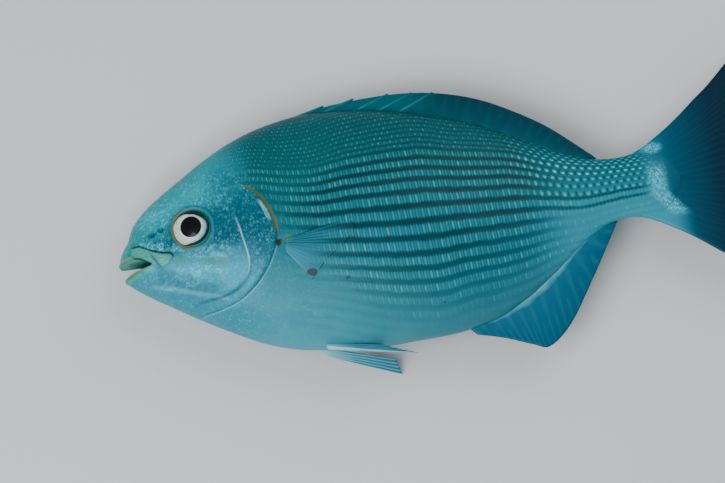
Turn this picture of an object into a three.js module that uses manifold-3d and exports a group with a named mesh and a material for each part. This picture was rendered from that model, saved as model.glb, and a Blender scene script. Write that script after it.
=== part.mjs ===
// A whole raw sea chub, ungutted, lying on its right flank with the left flank up.
// Millimetres. +X runs from snout to tail, +Y from belly to back, +Z out of the left flank.
// The fish is drawn in its own frame: X = 0 and Y = 0 on the body axis below the fin's middle spines,
// Z = 0 in the plane of symmetry. The last lines set it down with its box centred over the origin.
import * as THREE from 'three';
import { mergeVertices } from 'three/addons/utils/BufferGeometryUtils.js';
import Module from 'manifold-3d';

const wasm = await Module();
wasm.setup();

// Driving dimensions.
const SNOUT_X = -143;
const TAIL_BASE_X = 158;
const HALF_WIDTH = 27;
const RESTING_FLAT = 0.8; // how far the flank that carries the fish is pressed flat
const BODY_SIDES = 28;
const BODY_STATIONS = 50;
const END_CROWDING = 0.62; // how much closer the cross-sections stand at snout and tail than amidships

// Profile of the body without fins: [x, back, belly, half width].
const BODY_PROFILE = [
  [-143, 1.6, -0.6, 0.6],
  [-142.3, 4.2, -5.6, 4.2],
  [-140, 8.3, -10.2, 8.0],
  [-137.2, 12.2, -13.0, 10.2],
  [-133.7, 19.6, -15.8, 12.4],
  [-126, 27.6, -21.2, 15.4],
  [-116.5, 34.2, -27.4, 18.2],
  [-104.6, 41.6, -35.2, 21.0],
  [-92.7, 48.8, -42.2, 23.2],
  [-76, 57.0, -51.4, 25.4],
  [-58.4, 62.6, -58.0, 26.3],
  [-36, 66.0, -62.0, 26.9],
  [-14, 64.6, -63.8, 27.0],
  [8, 61.0, -63.9, 25.7],
  [33, 54.4, -62.6, 22.2],
  [52, 47.4, -58.6, 18.0],
  [68, 39.4, -50.6, 14.8],
  [84, 30.6, -39.8, 11.8],
  [98, 23.2, -28.9, 9.4],
  [112, 18.0, -19.8, 7.6],
  [126, 16.3, -16.4, 6.4],
  [138, 17.8, -17.8, 5.0],
  [145, 18.2, -18.2, 3.8],
  [150, 15.8, -15.8, 2.9],
  [154, 11.4, -11.4, 2.2],
  [158, 4.0, -4.0, 1.4],
];
const BACK_PINCH = 0.2; // how much narrower than an ellipse the back is, as a share of the width
const BELLY_PINCH = 0.04;

// Mouth: a slit between the jaws, seen from the side, with a roll of lip round each jaw.
const GAPE_UPPER = [[-147, -1.9], [-143, -1.6], [-139, -0.8], [-135, -0.4], [-131, -0.5], [-128, -1.8]];
const GAPE_LOWER = [[-128.6, -4.4], [-132, -5.0], [-136, -6.0], [-140, -7.4], [-143, -8.8], [-147, -11.0]];
const GAPE_CORNER = [-125.4, -3.4];
const LIP_CENTRE_X = -124;
const UPPER_LIP = { rows: GAPE_UPPER, side: 1, radius: 2.2, reach: 17.6, halfWidth: 13.4 };
const LOWER_LIP = { rows: GAPE_LOWER, side: -1, radius: 1.6, reach: 16.6, halfWidth: 13.6 };
const LIP_TAPER = 0.55; // how much thinner a lip is at the corner of the mouth
const NOSTRILS = [[-123.1, 11.2, 1.1], [-118.2, 13.1, 1.4]]; // x, y, radius

// Eye.
const EYE_X = -101.3;
const EYE_Y = 10.9;
const EYE_RADIUS = 10.6;
const EYE_HALF_DEPTH = 5.0;
const EYE_STANDS_OUT = 2.6;
const EYE_PITCH = -6; // degrees that the eye looks up from square to the plane of symmetry
const EYE_YAW = -10; // degrees that it looks forward
const SOCKET_GAP = 0.35;

// Gill cover and cheek plate: outlines on the flank, how far their hind edges stand proud,
// and where they come out of the head.
const GILL_COVER = {
  outline: [
    [-73, 30.5], [-68.4, 26.3], [-64, 21.6], [-60.4, 14.6], [-57.8, 5], [-58.4, -2.5], [-61.4, -9.5],
    [-65.6, -16.5], [-72.5, -24], [-82, -30.2], [-94, -33.2], [-106, -35],
    [-113, -44], [-121, -44], [-121, 30.5],
  ],
  root: 2.4,
  rise: 1.6,
  frontX: -108,
  hindX: -66,
  topY: 36,
};
const CHEEK_PLATE = {
  outline: [
    [-80, 22], [-77.2, 11], [-75.2, 0], [-73.8, -12], [-77, -20.5],
    [-86, -26], [-102, -27.5], [-116, -26], [-116, 22],
  ],
  root: 2.4,
  rise: 1.3,
  frontX: -112,
  hindX: -86,
  topY: 26,
};
const UPPER_JAW_PLATE = {
  outline: [
    [-131.5, 6.6], [-126, 3.6], [-120, 0.9], [-114.8, -0.6], [-114.6, -3.4],
    [-118.6, -6.2], [-122.4, -5.8], [-126.4, -2.4], [-131, 0.6], [-135, 2.2], [-136, 6.4],
  ],
  root: 0.2,
  rise: 1.0,
  frontX: -136,
  hindX: -119,
  topY: 40,
};
const PLATE_FADE = 14; // height over which a plate fades into the head at its top
const PRESSED_SHARE = 0.35; // how much of its rise a plate keeps on the flank that carries the fish

// Fins in the plane of symmetry: base and free edge, and the number of rays.
const DORSAL_BASE = [
  [-42, 63.6], [-30, 63.6], [-10, 61.4], [12, 57.2], [33, 51.6],
  [52, 44.6], [68, 36.8], [84, 28.2], [98, 21.0], [109, 16.6],
];
const DORSAL_EDGE = [
  [-38, 66.0], [-22, 68.5], [-2, 69.6], [18, 69.2], [38, 66.1],
  [58, 59.6], [76, 50.0], [92, 39.2], [106, 26.8], [115.5, 17.8],
];
const DORSAL_RAYS = 15;
const SPINE_TIPS = [[-23.6, 69.2], [-7.3, 70.6], [11.4, 70.3], [23.9, 69.1], [35, 67.3]];
const SPINE_LENGTH = 23; // along the body
const SPINE_RADIUS = 1.5;
const SPINE_TIP_SHARE = 0.33;
const SPINE_DEPTH = 2.2; // of the foot under the skin
const SPINE_OFFSET = 0.35; // to the left of the fin's middle
const ANAL_BASE = [[33, -60.2], [46, -58.4], [58, -53.4], [70, -46.4], [84, -36.6], [96, -27.2], [108, -19.6]];
const ANAL_EDGE = [[38, -65.6], [52, -69.6], [66, -75.2], [75, -77.6], [88, -67.2], [104, -44.0], [121, -17]];
const ANAL_RAYS = 11;
const CAUDAL_EDGE = [
  [126, 14.6], [134, 17.2], [141, 20.4], [148, 24.4], [155.5, 29.2], [163, 34.6],
  [171, 41.0], [178, 46.2], [185, 52.2], [192, 58.6], [203, 67.2], [211, 71.6], [216, 72],
];
const CAUDAL_FORK_X = 187;
const CAUDAL_BASE_THICKNESS = 4.6;
const CAUDAL_RAYS = 17;
const FIN_BASE_THICKNESS = 3.4;
const FIN_EDGE_THICKNESS = 1.1;

// Paired fins.
const PECTORAL_ROOT = [-55, -6.5];
const PECTORAL_ROOT_LENGTH = 6.3;
const PECTORAL_REACH = [[0, 20.5], [0.3, 22], [0.5, 25], [0.7, 32], [0.86, 38], [1, 35]]; // low to top ray
const PECTORAL_RAYS = 9;
const PECTORAL_TOP_ANGLE = 11; // degrees above the body axis
const PECTORAL_LOW_ANGLE = -56;
const PECTORAL_LIFT = 1.8;
const PRESSED_LIFT = 0.3; // of the fin under the flank that carries the fish
const PAIRED_THICKNESS = 1.3;
// Pelvic fins, each as on the left: trail leads from the root to the middle of the free edge, droop is
// degrees that the outer edge lies below the inner one, innerLength the inner ray's share of the outer one.
const LEFT_PELVIC = { root: [-41.5, -60, 6.5], trail: [48, -9.5, 6], width: 14, droop: 27, innerLength: 0.62 };
const RIGHT_PELVIC = { root: [-43, -60.5, 6], trail: [39, -12.6, 12.3], width: 12, droop: 30, innerLength: 0.94 };
const PELVIC_BASE_WIDTH = 4.6;
const PELVIC_RAYS = 5;

const SKIN = new THREE.MeshStandardMaterial({ color: 0x3f8f93, roughness: 0.35, metalness: 0.25 });
const EYE = new THREE.MeshStandardMaterial({ color: 0x0a1020, roughness: 0.12, metalness: 0.0 });

// Cubic through rows of [x, value...]; `column` picks the value.
function smooth(rows, column = 1) {
  const slope = rows.map((row, i) => {
    const before = rows[Math.max(i - 1, 0)];
    const after = rows[Math.min(i + 1, rows.length - 1)];
    return (after[column] - before[column]) / (after[0] - before[0]);
  });
  return (x) => {
    let i = 0;
    while (i < rows.length - 2 && x > rows[i + 1][0]) i++;
    const span = rows[i + 1][0] - rows[i][0];
    const t = THREE.MathUtils.clamp((x - rows[i][0]) / span, 0, 1);
    const a = rows[i][column];
    const b = rows[i + 1][column];
    const near = slope[i] * span;
    const far = slope[i + 1] * span;
    return a + t * (near + t * (3 * (b - a) - 2 * near - far + t * (near + far - 2 * (b - a))));
  };
}

// Point at share t of a smooth line through [x, y] points.
function alongLine(points) {
  const line = new THREE.SplineCurve(points.map(([x, y]) => new THREE.Vector2(x, y)));
  return (t) => line.getPoint(THREE.MathUtils.clamp(t, 0, 1));
}

const back = smooth(BODY_PROFILE, 1);
const belly = smooth(BODY_PROFILE, 2);
const halfWidth = smooth(BODY_PROFILE, 3);

// Closed mesh with shared vertices as a solid for joining and cutting.
function solid(geometry) {
  const bare = geometry.index ? geometry.clone() : geometry;
  bare.deleteAttribute('normal');
  bare.deleteAttribute('uv');
  const merged = mergeVertices(bare, 1e-4);
  const mesh = new wasm.Mesh({
    numProp: 3,
    vertProperties: merged.attributes.position.array,
    triVerts: new Uint32Array(merged.index.array),
  });
  return new wasm.Manifold(mesh);
}

function geometryOf(manifold) {
  const { vertProperties, triVerts } = manifold.getMesh();
  const geometry = new THREE.BufferGeometry();
  geometry.setAttribute('position', new THREE.BufferAttribute(new Float32Array(vertProperties), 3));
  geometry.setIndex(new THREE.BufferAttribute(new Uint32Array(triVerts), 1));
  geometry.computeVertexNormals();
  return geometry;
}

// Half width of the body at x and y, where the skin is, zero outside the outline.
function skinHeight(x, y) {
  const middle = (back(x) + belly(x)) / 2;
  const reach = y > middle ? back(x) - middle : middle - belly(x);
  const rise = Math.abs(y - middle) / reach;
  if (rise >= 1) return 0;
  const pinch = y > middle ? BACK_PINCH : BELLY_PINCH;
  return halfWidth(x) * Math.sqrt(1 - rise * rise) * (1 - pinch * rise * rise);
}

// Body: a sphere whose poles become snout and tail base, each parallel a cross-section.
// `swell` widens it by some millimetres that depend on x, y and the flank.
function bodySolid(swell = () => 0) {
  const ball = new THREE.SphereGeometry(1, BODY_SIDES, BODY_STATIONS);
  const at = ball.attributes.position;
  for (let i = 0; i < at.count; i++) {
    const share = Math.acos(THREE.MathUtils.clamp(-at.getY(i), -1, 1)) / Math.PI;
    const eased = THREE.MathUtils.lerp(share, (1 - Math.cos(share * Math.PI)) / 2, END_CROWDING);
    const x = THREE.MathUtils.lerp(SNOUT_X, TAIL_BASE_X, eased);
    const pole = share < 1e-6 || share > 1 - 1e-6;
    const turn = Math.atan2(-at.getX(i), at.getZ(i));
    const middle = (back(x) + belly(x)) / 2;
    const up = Math.sin(turn);
    const reach = up > 0 ? back(x) - middle : middle - belly(x);
    const pinch = up > 0 ? BACK_PINCH : BELLY_PINCH;
    const y = middle + reach * up;
    const across = Math.cos(turn);
    const width = (halfWidth(x) + swell(x, y, Math.sign(across))) * (1 - pinch * up * up);
    if (pole) at.setXYZ(i, x, middle, 0);
    else at.setXYZ(i, x, y, width * across);
  }
  return solid(ball);
}

// Prism of an outline in the side view, through the whole fish.
function sidePrism(shape, low = -60, high = 60) {
  const prism = new THREE.ExtrudeGeometry(shape, { depth: high - low, bevelEnabled: false, curveSegments: 8 });
  prism.translate(0, 0, low);
  return solid(prism);
}

function outlineShape(points) {
  const shape = new THREE.Shape();
  shape.moveTo(...points[0]);
  shape.splineThru(points.slice(1).map(([x, y]) => new THREE.Vector2(x, y)));
  shape.closePath();
  return shape;
}

// Plate of bone under the skin: the body grown a little inside an outline. It comes out of the skin
// towards its hind edge and fades into the head at its top.
function bonePlate({ outline, root, rise, frontX, hindX, topY }) {
  const grown = bodySolid((x, y, flank) => {
    const backward = THREE.MathUtils.smoothstep(x, frontX, hindX);
    const downward = 1 - THREE.MathUtils.smoothstep(y, topY - PLATE_FADE, topY);
    const proud = flank < 0 ? rise * PRESSED_SHARE : rise;
    return THREE.MathUtils.lerp(-root, proud, backward * downward);
  });
  return grown.intersect(sidePrism(outlineShape(outline)));
}

// Slit between the jaws, closed inside by the tongue and the floor of the mouth.
function gapeSolid() {
  const slit = outlineShape([...GAPE_UPPER, GAPE_CORNER, ...GAPE_LOWER]);
  const flesh = new THREE.SphereGeometry(1, 12, 8);
  flesh.scale(14, 9, 9.5);
  flesh.translate(-119, -3, 0);
  return sidePrism(slit).subtract(solid(flesh));
}

// Lip: a ball drawn out along the edge of the gape, from one corner of the mouth round to the other.
function lipSolid({ rows, side, radius, reach, halfWidth: half }) {
  const line = smooth([...rows].sort((a, b) => a[0] - b[0]));
  const ball = new THREE.SphereGeometry(1, 8, 16);
  const at = ball.attributes.position;
  for (let i = 0; i < at.count; i++) {
    const turn = Math.asin(THREE.MathUtils.clamp(at.getY(i), -1, 1));
    const ring = Math.atan2(at.getX(i), at.getZ(i));
    const pole = Math.abs(at.getY(i)) > 1 - 1e-6;
    const share = Math.abs(turn) / (Math.PI / 2);
    const thick = pole ? 0 : radius * (1 - LIP_TAPER * share * share) * Math.pow(1 - share ** 6, 0.5);
    const outX = -Math.cos(turn);
    const outZ = Math.sin(turn);
    const x = LIP_CENTRE_X + (reach + thick * Math.sin(ring)) * outX;
    const z = (half + thick * Math.sin(ring)) * outZ;
    const middleY = line(LIP_CENTRE_X + reach * outX) + side * radius * (1 - LIP_TAPER * share) * 0.7;
    at.setXYZ(i, x, middleY + thick * Math.cos(ring), z);
  }
  return solid(ball);
}

// Nostrils: pits in both sides of the snout.
function nostrilSolids() {
  return [1, -1].flatMap((flank) => NOSTRILS.map(([x, y, radius]) => {
    const pit = new THREE.SphereGeometry(radius, 8, 6);
    pit.translate(x, y, flank * skinHeight(x, y));
    return solid(pit);
  }));
}

// Fin: a block whose columns follow the rays. `place` gives the point for u along the base,
// v out to the free edge and the side, and the rays stand proud of the web between them.
function finSolid(rays, rows, place) {
  const block = new THREE.BoxGeometry(1, 1, 1, 2 * rays, rows, 1);
  const at = block.attributes.position;
  for (let i = 0; i < at.count; i++) {
    const u = at.getX(i) + 0.5;
    const v = at.getY(i) + 0.5;
    const ridge = 0.8 + 0.2 * Math.cos(2 * Math.PI * rays * u);
    const point = place(u, v, Math.sign(at.getZ(i)) * ridge);
    at.setXYZ(i, point.x, point.y, point.z);
  }
  return solid(block);
}

// Fin in the plane of symmetry between two lines; `turn` is -1 where u, v and Z run left-handed.
function medianFin(base, edge, rays, rows, turn) {
  const inner = alongLine(base);
  const outer = alongLine(edge);
  return finSolid(rays, rows, (u, v, side) => {
    const a = inner(u);
    const b = outer(u);
    const thickness = THREE.MathUtils.lerp(FIN_BASE_THICKNESS, FIN_EDGE_THICKNESS, Math.sqrt(v));
    return new THREE.Vector3(
      THREE.MathUtils.lerp(a.x, b.x, v),
      THREE.MathUtils.lerp(a.y, b.y, v),
      (turn * side * thickness) / 2,
    );
  });
}

// Dorsal spines, laid back over each other in their groove.
function spineSolids() {
  return SPINE_TIPS.map(([tipX, tipY]) => {
    const x = tipX - SPINE_LENGTH;
    const foot = new THREE.Vector3(x, back(x) - SPINE_DEPTH, 0);
    const tip = new THREE.Vector3(tipX, tipY, 0);
    const rod = new THREE.CylinderGeometry(SPINE_RADIUS * SPINE_TIP_SHARE, SPINE_RADIUS, 1, 8);
    rod.translate(0, 0.5, 0);
    rod.scale(1, foot.distanceTo(tip), 1);
    const turn = new THREE.Quaternion().setFromUnitVectors(
      new THREE.Vector3(0, 1, 0),
      tip.clone().sub(foot).normalize(),
    );
    rod.applyQuaternion(turn);
    rod.translate(foot.x, foot.y, SPINE_OFFSET);
    return solid(rod);
  });
}

// Caudal fin: rays fan out from inside the tail base to a forked hind edge.
function caudalSolid() {
  const leading = alongLine(CAUDAL_EDGE);
  const baseX = CAUDAL_EDGE[0][0];
  const tipX = CAUDAL_EDGE.at(-1)[0];
  return finSolid(CAUDAL_RAYS, 6, (u, v, side) => {
    const across = 2 * u - 1;
    const hindX = THREE.MathUtils.lerp(CAUDAL_FORK_X, tipX, Math.pow(Math.abs(across), 1.35));
    const edge = leading(v);
    const reach = (edge.x - baseX) / (tipX - baseX);
    const thickness = THREE.MathUtils.lerp(CAUDAL_BASE_THICKNESS, FIN_EDGE_THICKNESS, Math.pow(v, 0.7));
    const x = THREE.MathUtils.lerp(baseX, hindX, reach);
    return new THREE.Vector3(x, across * edge.y, (-side * thickness) / 2);
  });
}

// Left pectoral fin, its free edge lifted off the flank by `lift`.
function pectoralSolid(lift) {
  const reach = smooth(PECTORAL_REACH);
  return finSolid(PECTORAL_RAYS, 4, (u, v, side) => {
    const angle = THREE.MathUtils.degToRad(THREE.MathUtils.lerp(PECTORAL_LOW_ANGLE, PECTORAL_TOP_ANGLE, u));
    const x = PECTORAL_ROOT[0] + v * reach(u) * Math.cos(angle);
    const y = PECTORAL_ROOT[1] + (u - 0.5) * PECTORAL_ROOT_LENGTH + v * reach(u) * Math.sin(angle);
    const thickness = THREE.MathUtils.lerp(PAIRED_THICKNESS * 1.6, PAIRED_THICKNESS * 0.7, v);
    const z = skinHeight(x, y) - 0.6 + lift * v * v - (side * thickness) / 2;
    return new THREE.Vector3(x, y, z);
  });
}

// Pelvic fin as on the left: a narrow fan that trails under the belly, longest at its outer ray.
function pelvicSolid({ root, trail, width, droop, innerLength }) {
  const turn = THREE.MathUtils.degToRad(droop);
  const out = new THREE.Vector3(0, -Math.sin(turn), Math.cos(turn));
  const normal = new THREE.Vector3(0, Math.cos(turn), Math.sin(turn));
  return finSolid(PELVIC_RAYS, 6, (u, v, side) => {
    const spread = THREE.MathUtils.lerp(PELVIC_BASE_WIDTH, width, Math.pow(v, 0.8));
    const length = v * THREE.MathUtils.lerp(innerLength, 1, Math.pow(u, 1.5));
    const thickness = THREE.MathUtils.lerp(2.6, 0.9, v);
    const point = new THREE.Vector3(...root).addScaledVector(new THREE.Vector3(...trail), length);
    point.addScaledVector(out, (u - 0.4) * spread);
    return point.addScaledVector(normal, (side * thickness) / 2);
  });
}

// A mirrored block comes out inside out, so what is on the left is mirrored as a solid.
function mirrored(left) {
  return left.mirror([0, 0, 1]);
}

// Eyeball, or with a gap its socket, on the flank of the given side.
function eyeSolid(flank, gap) {
  const ball = new THREE.SphereGeometry(1, 20, 12);
  ball.scale(EYE_RADIUS + gap, EYE_RADIUS + gap, EYE_HALF_DEPTH + gap);
  ball.rotateX(THREE.MathUtils.degToRad(EYE_PITCH));
  ball.rotateY(THREE.MathUtils.degToRad(EYE_YAW));
  ball.translate(EYE_X, EYE_Y, skinHeight(EYE_X, EYE_Y) + EYE_STANDS_OUT - EYE_HALF_DEPTH);
  const left = solid(ball);
  return flank > 0 ? left : mirrored(left);
}

function fishSolid() {
  const joined = wasm.Manifold.union([
    bodySolid().subtract(gapeSolid()),
    bonePlate(GILL_COVER),
    bonePlate(CHEEK_PLATE),
    bonePlate(UPPER_JAW_PLATE),
    lipSolid(UPPER_LIP),
    lipSolid(LOWER_LIP),
    medianFin(DORSAL_BASE, DORSAL_EDGE, DORSAL_RAYS, 3, 1),
    ...spineSolids(),
    medianFin(ANAL_BASE, ANAL_EDGE, ANAL_RAYS, 4, -1),
    caudalSolid(),
    pectoralSolid(PECTORAL_LIFT),
    mirrored(pectoralSolid(PRESSED_LIFT)),
    pelvicSolid(LEFT_PELVIC),
    mirrored(pelvicSolid(RIGHT_PELVIC)),
  ]);
  const floorZ = -(HALF_WIDTH - RESTING_FLAT);
  const table = new THREE.BoxGeometry(600, 400, 40);
  table.translate(0, 0, floorZ - 20);
  const cuts = [eyeSolid(1, SOCKET_GAP), eyeSolid(-1, SOCKET_GAP), ...nostrilSolids(), solid(table)];
  return cuts.reduce((flesh, cut) => flesh.subtract(cut), joined);
}

function piece(name, manifold, material) {
  const mesh = new THREE.Mesh(geometryOf(manifold), material);
  mesh.name = name;
  return mesh;
}

const whole = new THREE.Group();
whole.add(piece('fish', fishSolid(), SKIN));
whole.add(piece('eye_left', eyeSolid(1, 0), EYE));
whole.add(piece('eye_right', eyeSolid(-1, 0), EYE));

// Set down: box centred over the origin, pressed flank on the surface.
const box = new THREE.Box3().setFromObject(whole);
const centre = box.getCenter(new THREE.Vector3());
whole.position.set(-centre.x, -centre.y, -box.min.z);

const root = new THREE.Group();
root.add(whole);
export default root;
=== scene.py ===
"""Looks of a whole raw sea chub that lies on its right flank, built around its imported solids."""

from __future__ import annotations

import logging
import math
from dataclasses import dataclass
from enum import Enum
from typing import Callable, Sequence, Union

import bmesh
import bpy
import numpy as np
from mathutils import Matrix, Vector


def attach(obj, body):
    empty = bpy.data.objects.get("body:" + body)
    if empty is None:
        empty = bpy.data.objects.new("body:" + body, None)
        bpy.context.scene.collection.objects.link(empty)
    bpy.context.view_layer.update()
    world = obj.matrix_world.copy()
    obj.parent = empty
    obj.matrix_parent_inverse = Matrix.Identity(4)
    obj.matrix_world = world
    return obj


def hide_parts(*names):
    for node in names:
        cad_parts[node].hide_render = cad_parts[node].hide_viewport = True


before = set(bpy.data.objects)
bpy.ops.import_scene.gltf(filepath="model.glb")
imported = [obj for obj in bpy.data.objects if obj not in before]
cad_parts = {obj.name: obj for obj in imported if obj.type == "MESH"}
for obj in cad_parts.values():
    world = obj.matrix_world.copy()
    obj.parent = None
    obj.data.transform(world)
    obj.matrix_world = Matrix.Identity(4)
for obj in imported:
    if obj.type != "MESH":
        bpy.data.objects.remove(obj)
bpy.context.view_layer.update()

LOG = logging.getLogger("sea_chub")

MM = 0.001
# From the fish's own frame (axis of the body, plane of symmetry) to the shared one, in millimetres.
SHIFT = np.array([-36.1, 2.978, 26.2])
RESTING_Z = -26.2

Rows = Sequence[Sequence[float]]
Curve = Callable[[np.ndarray], np.ndarray]

SNOUT_X, TAIL_BASE_X = -143, 158

# Profile of the body without fins: x, back, belly, half width.
PROFILE: Rows = (
    (-143, 1.6, -0.6, 0.6), (-142.3, 4.2, -5.6, 4.2), (-140, 8.3, -10.2, 8.0),
    (-137.2, 12.2, -13.0, 10.2), (-133.7, 19.6, -15.8, 12.4), (-126, 27.6, -21.2, 15.4),
    (-116.5, 34.2, -27.4, 18.2), (-104.6, 41.6, -35.2, 21.0), (-92.7, 48.8, -42.2, 23.2),
    (-76, 57.0, -51.4, 25.4), (-58.4, 62.6, -58.0, 26.3), (-36, 66.0, -62.0, 26.9),
    (-14, 64.6, -63.8, 27.0), (8, 61.0, -63.9, 25.7), (33, 54.4, -62.6, 22.2),
    (52, 47.4, -58.6, 18.0), (68, 39.4, -50.6, 14.8), (84, 30.6, -39.8, 11.8),
    (98, 23.2, -28.9, 9.4), (112, 18.0, -19.8, 7.6), (126, 16.3, -16.4, 6.4),
    (138, 17.8, -17.8, 5.0), (145, 18.2, -18.2, 3.8), (150, 15.8, -15.8, 2.9),
    (154, 11.4, -11.4, 2.2), (158, 4.0, -4.0, 1.4),
)
# Above this row the stripes lie twice as close.
CLOSE_ROWS = -4

GAPE_UPPER: Rows = ((-147, -1.9), (-143, -1.6), (-139, -0.8), (-135, -0.4), (-131, -0.5), (-128, -1.8))
GAPE_CORNER = (-125.4, -3.4)
GAPE_LOWER: Rows = ((-128.6, -4.4), (-132, -5.0), (-136, -6.0), (-140, -7.4), (-143, -8.8), (-147, -11.0))


def linear(code: str) -> tuple[float, float, float, float]:
    """Turns an sRGB hex code to a linear colour.

    Args:
        code: such as "#1a7685".
    Returns:
        Red, green, blue and an alpha of 1.
    """
    parts = [int(code[i : i + 2], 16) / 255 for i in (1, 3, 5)]
    curve = [c / 12.92 if c <= 0.04045 else ((c + 0.055) / 1.055) ** 2.4 for c in parts]
    return (*curve, 1.0)


def step(value: np.ndarray, low: float, high: float) -> np.ndarray:
    """Smooth step from 0 at low to 1 at high."""
    t = np.clip((value - low) / (high - low), 0, 1)
    return t * t * (3 - 2 * t)


def cubic(rows: Rows, column: int = 1) -> Curve:
    """Smooth curve through a table.

    Args:
        rows: each starts with its place, in rising order.
        column: the numbers that the curve goes through.
    Returns:
        A function of the place, level beyond both ends.
    """
    xs = np.array([row[0] for row in rows], float)
    ys = np.array([row[column] for row in rows], float)
    before = np.maximum(np.arange(len(xs)) - 1, 0)
    after = np.minimum(np.arange(len(xs)) + 1, len(xs) - 1)
    slope = (ys[after] - ys[before]) / (xs[after] - xs[before])

    def at(x: np.ndarray) -> np.ndarray:
        """Reads the curve.

        Args:
            x: places.
        Returns:
            Its value at each.
        """
        i = np.clip(np.searchsorted(xs, x, side="left") - 1, 0, len(xs) - 2)
        span = xs[i + 1] - xs[i]
        t = np.clip((x - xs[i]) / span, 0, 1)
        near, far, rise = slope[i] * span, slope[i + 1] * span, ys[i + 1] - ys[i]
        return ys[i] + t * (near + t * (3 * rise - 2 * near - far + t * (near + far - 2 * rise)))

    return at


def spline(points: Rows, share: np.ndarray) -> np.ndarray:
    """Walks a smooth line through 2D points.

    Args:
        points: what the line goes through, at even shares.
        share: from 0 at the first point to 1 at the last.
    Returns:
        A point for each share.
    """
    pts = np.array(points, float)
    last = len(pts) - 1
    place = np.clip(share, 0, 1) * last
    i = np.minimum(place.astype(int), last)
    t = (place - i)[..., None]
    p0, p1 = pts[np.maximum(i - 1, 0)], pts[i]
    p2, p3 = pts[np.minimum(i + 1, last)], pts[np.minimum(i + 2, last)]
    v0, v1 = (p2 - p0) / 2, (p3 - p1) / 2
    return (2 * p1 - 2 * p2 + v0 + v1) * t**3 + (3 * p2 - 3 * p1 - 2 * v0 - v1) * t**2 + v0 * t + p1


@dataclass(frozen=True)
class Outline:
    """Closed shape in the side view, smooth through its points and shut by a straight line."""

    points: Rows
    steps: int = 90

    def inside(self, x: np.ndarray, y: np.ndarray) -> np.ndarray:
        """Measures how far inside the line places lie.

        Args:
            x, y: places in the side view, in millimetres.
        Returns:
            Distance to the line, positive inside and negative outside.
        """
        line = spline(self.points, np.linspace(0, 1, self.steps))
        nearest = np.full(x.shape, 1e6)
        odd = np.zeros(x.shape, bool)
        for (ax, ay), (bx, by) in zip(line, np.roll(line, -1, axis=0)):
            dx, dy = bx - ax, by - ay
            t = np.clip(((x - ax) * dx + (y - ay) * dy) / (dx * dx + dy * dy + 1e-9), 0, 1)
            nearest = np.minimum(nearest, np.hypot(x - ax - t * dx, y - ay - t * dy))
            crosses = (ay > y) != (by > y)
            if abs(dy) > 1e-9:
                odd ^= crosses & (x < ax + (y - ay) * dx / dy)
        return np.where(odd, nearest, -nearest)


def bump(value: np.ndarray, centre: float, width: float) -> np.ndarray:
    """Round bump of height 1 at centre."""
    return np.exp(-(((value - centre) / width) ** 2))


def blunt(share: np.ndarray, bluntness: int) -> np.ndarray:
    """Thickness of a blade, full until shortly before its edge at share 1; the blunter, the longer."""
    return np.sqrt(np.clip(1 - share**bluntness, 0, 1))


@dataclass(frozen=True)
class Plate:
    """Plate of bone under the skin: comes out of the head towards its hind edge, fades at its top."""

    outline: Outline
    root: float
    rise: float
    front_x: float
    hind_x: float
    top_y: float
    fade: float = 14.0
    pressed_share: float = 0.35
    blend: float = 0.5

    def relief(self, x: np.ndarray, y: np.ndarray, left: np.ndarray, depth: np.ndarray) -> np.ndarray:
        """Height over the skin in millimetres.

        Args:
            x, y: places in the side view.
            left: true on the flank that faces up.
            depth: distance inside the outline.
        Returns:
            The height, rounded off over the last millimetre before the edge.
        """
        out = step(x, self.front_x, self.hind_x) * (1 - step(y, self.top_y - self.fade, self.top_y))
        proud = np.where(left, self.rise, self.rise * self.pressed_share)
        height = -self.root + (proud + self.root) * out
        height = (height + np.sqrt(height * height + self.blend**2)) / 2
        return height * step(depth, -0.15, 0.75) * step(x, self.front_x, self.front_x + 6)


GILL_COVER = Plate(
    Outline((
        (-73, 30.5), (-68.4, 26.3), (-64, 21.6), (-60.4, 14.6), (-57.8, 5), (-58.4, -2.5),
        (-61.4, -9.5), (-65.6, -16.5), (-72.5, -24), (-82, -30.2), (-94, -33.2), (-106, -35),
        (-113, -44), (-121, -44), (-121, 30.5),
    )),
    root=2.4, rise=1.6, front_x=-108, hind_x=-66, top_y=36,
)
CHEEK = Plate(
    Outline((
        (-80, 22), (-77.2, 11), (-75.2, 0), (-73.8, -12), (-77, -20.5),
        (-86, -26), (-102, -27.5), (-116, -26), (-116, 22),
    )),
    root=2.4, rise=1.3, front_x=-112, hind_x=-86, top_y=26,
)
UPPER_JAW = Plate(
    Outline((
        (-131.5, 6.6), (-126, 3.6), (-120, 0.9), (-114.8, -0.6), (-114.6, -3.4),
        (-118.6, -6.2), (-122.4, -5.8), (-126.4, -2.4), (-131, 0.6), (-135, 2.2), (-136, 6.4),
    )),
    root=0.2, rise=1.0, front_x=-136, hind_x=-119, top_y=40,
)
GAPE = Outline((*GAPE_UPPER, GAPE_CORNER, *GAPE_LOWER))


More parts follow.
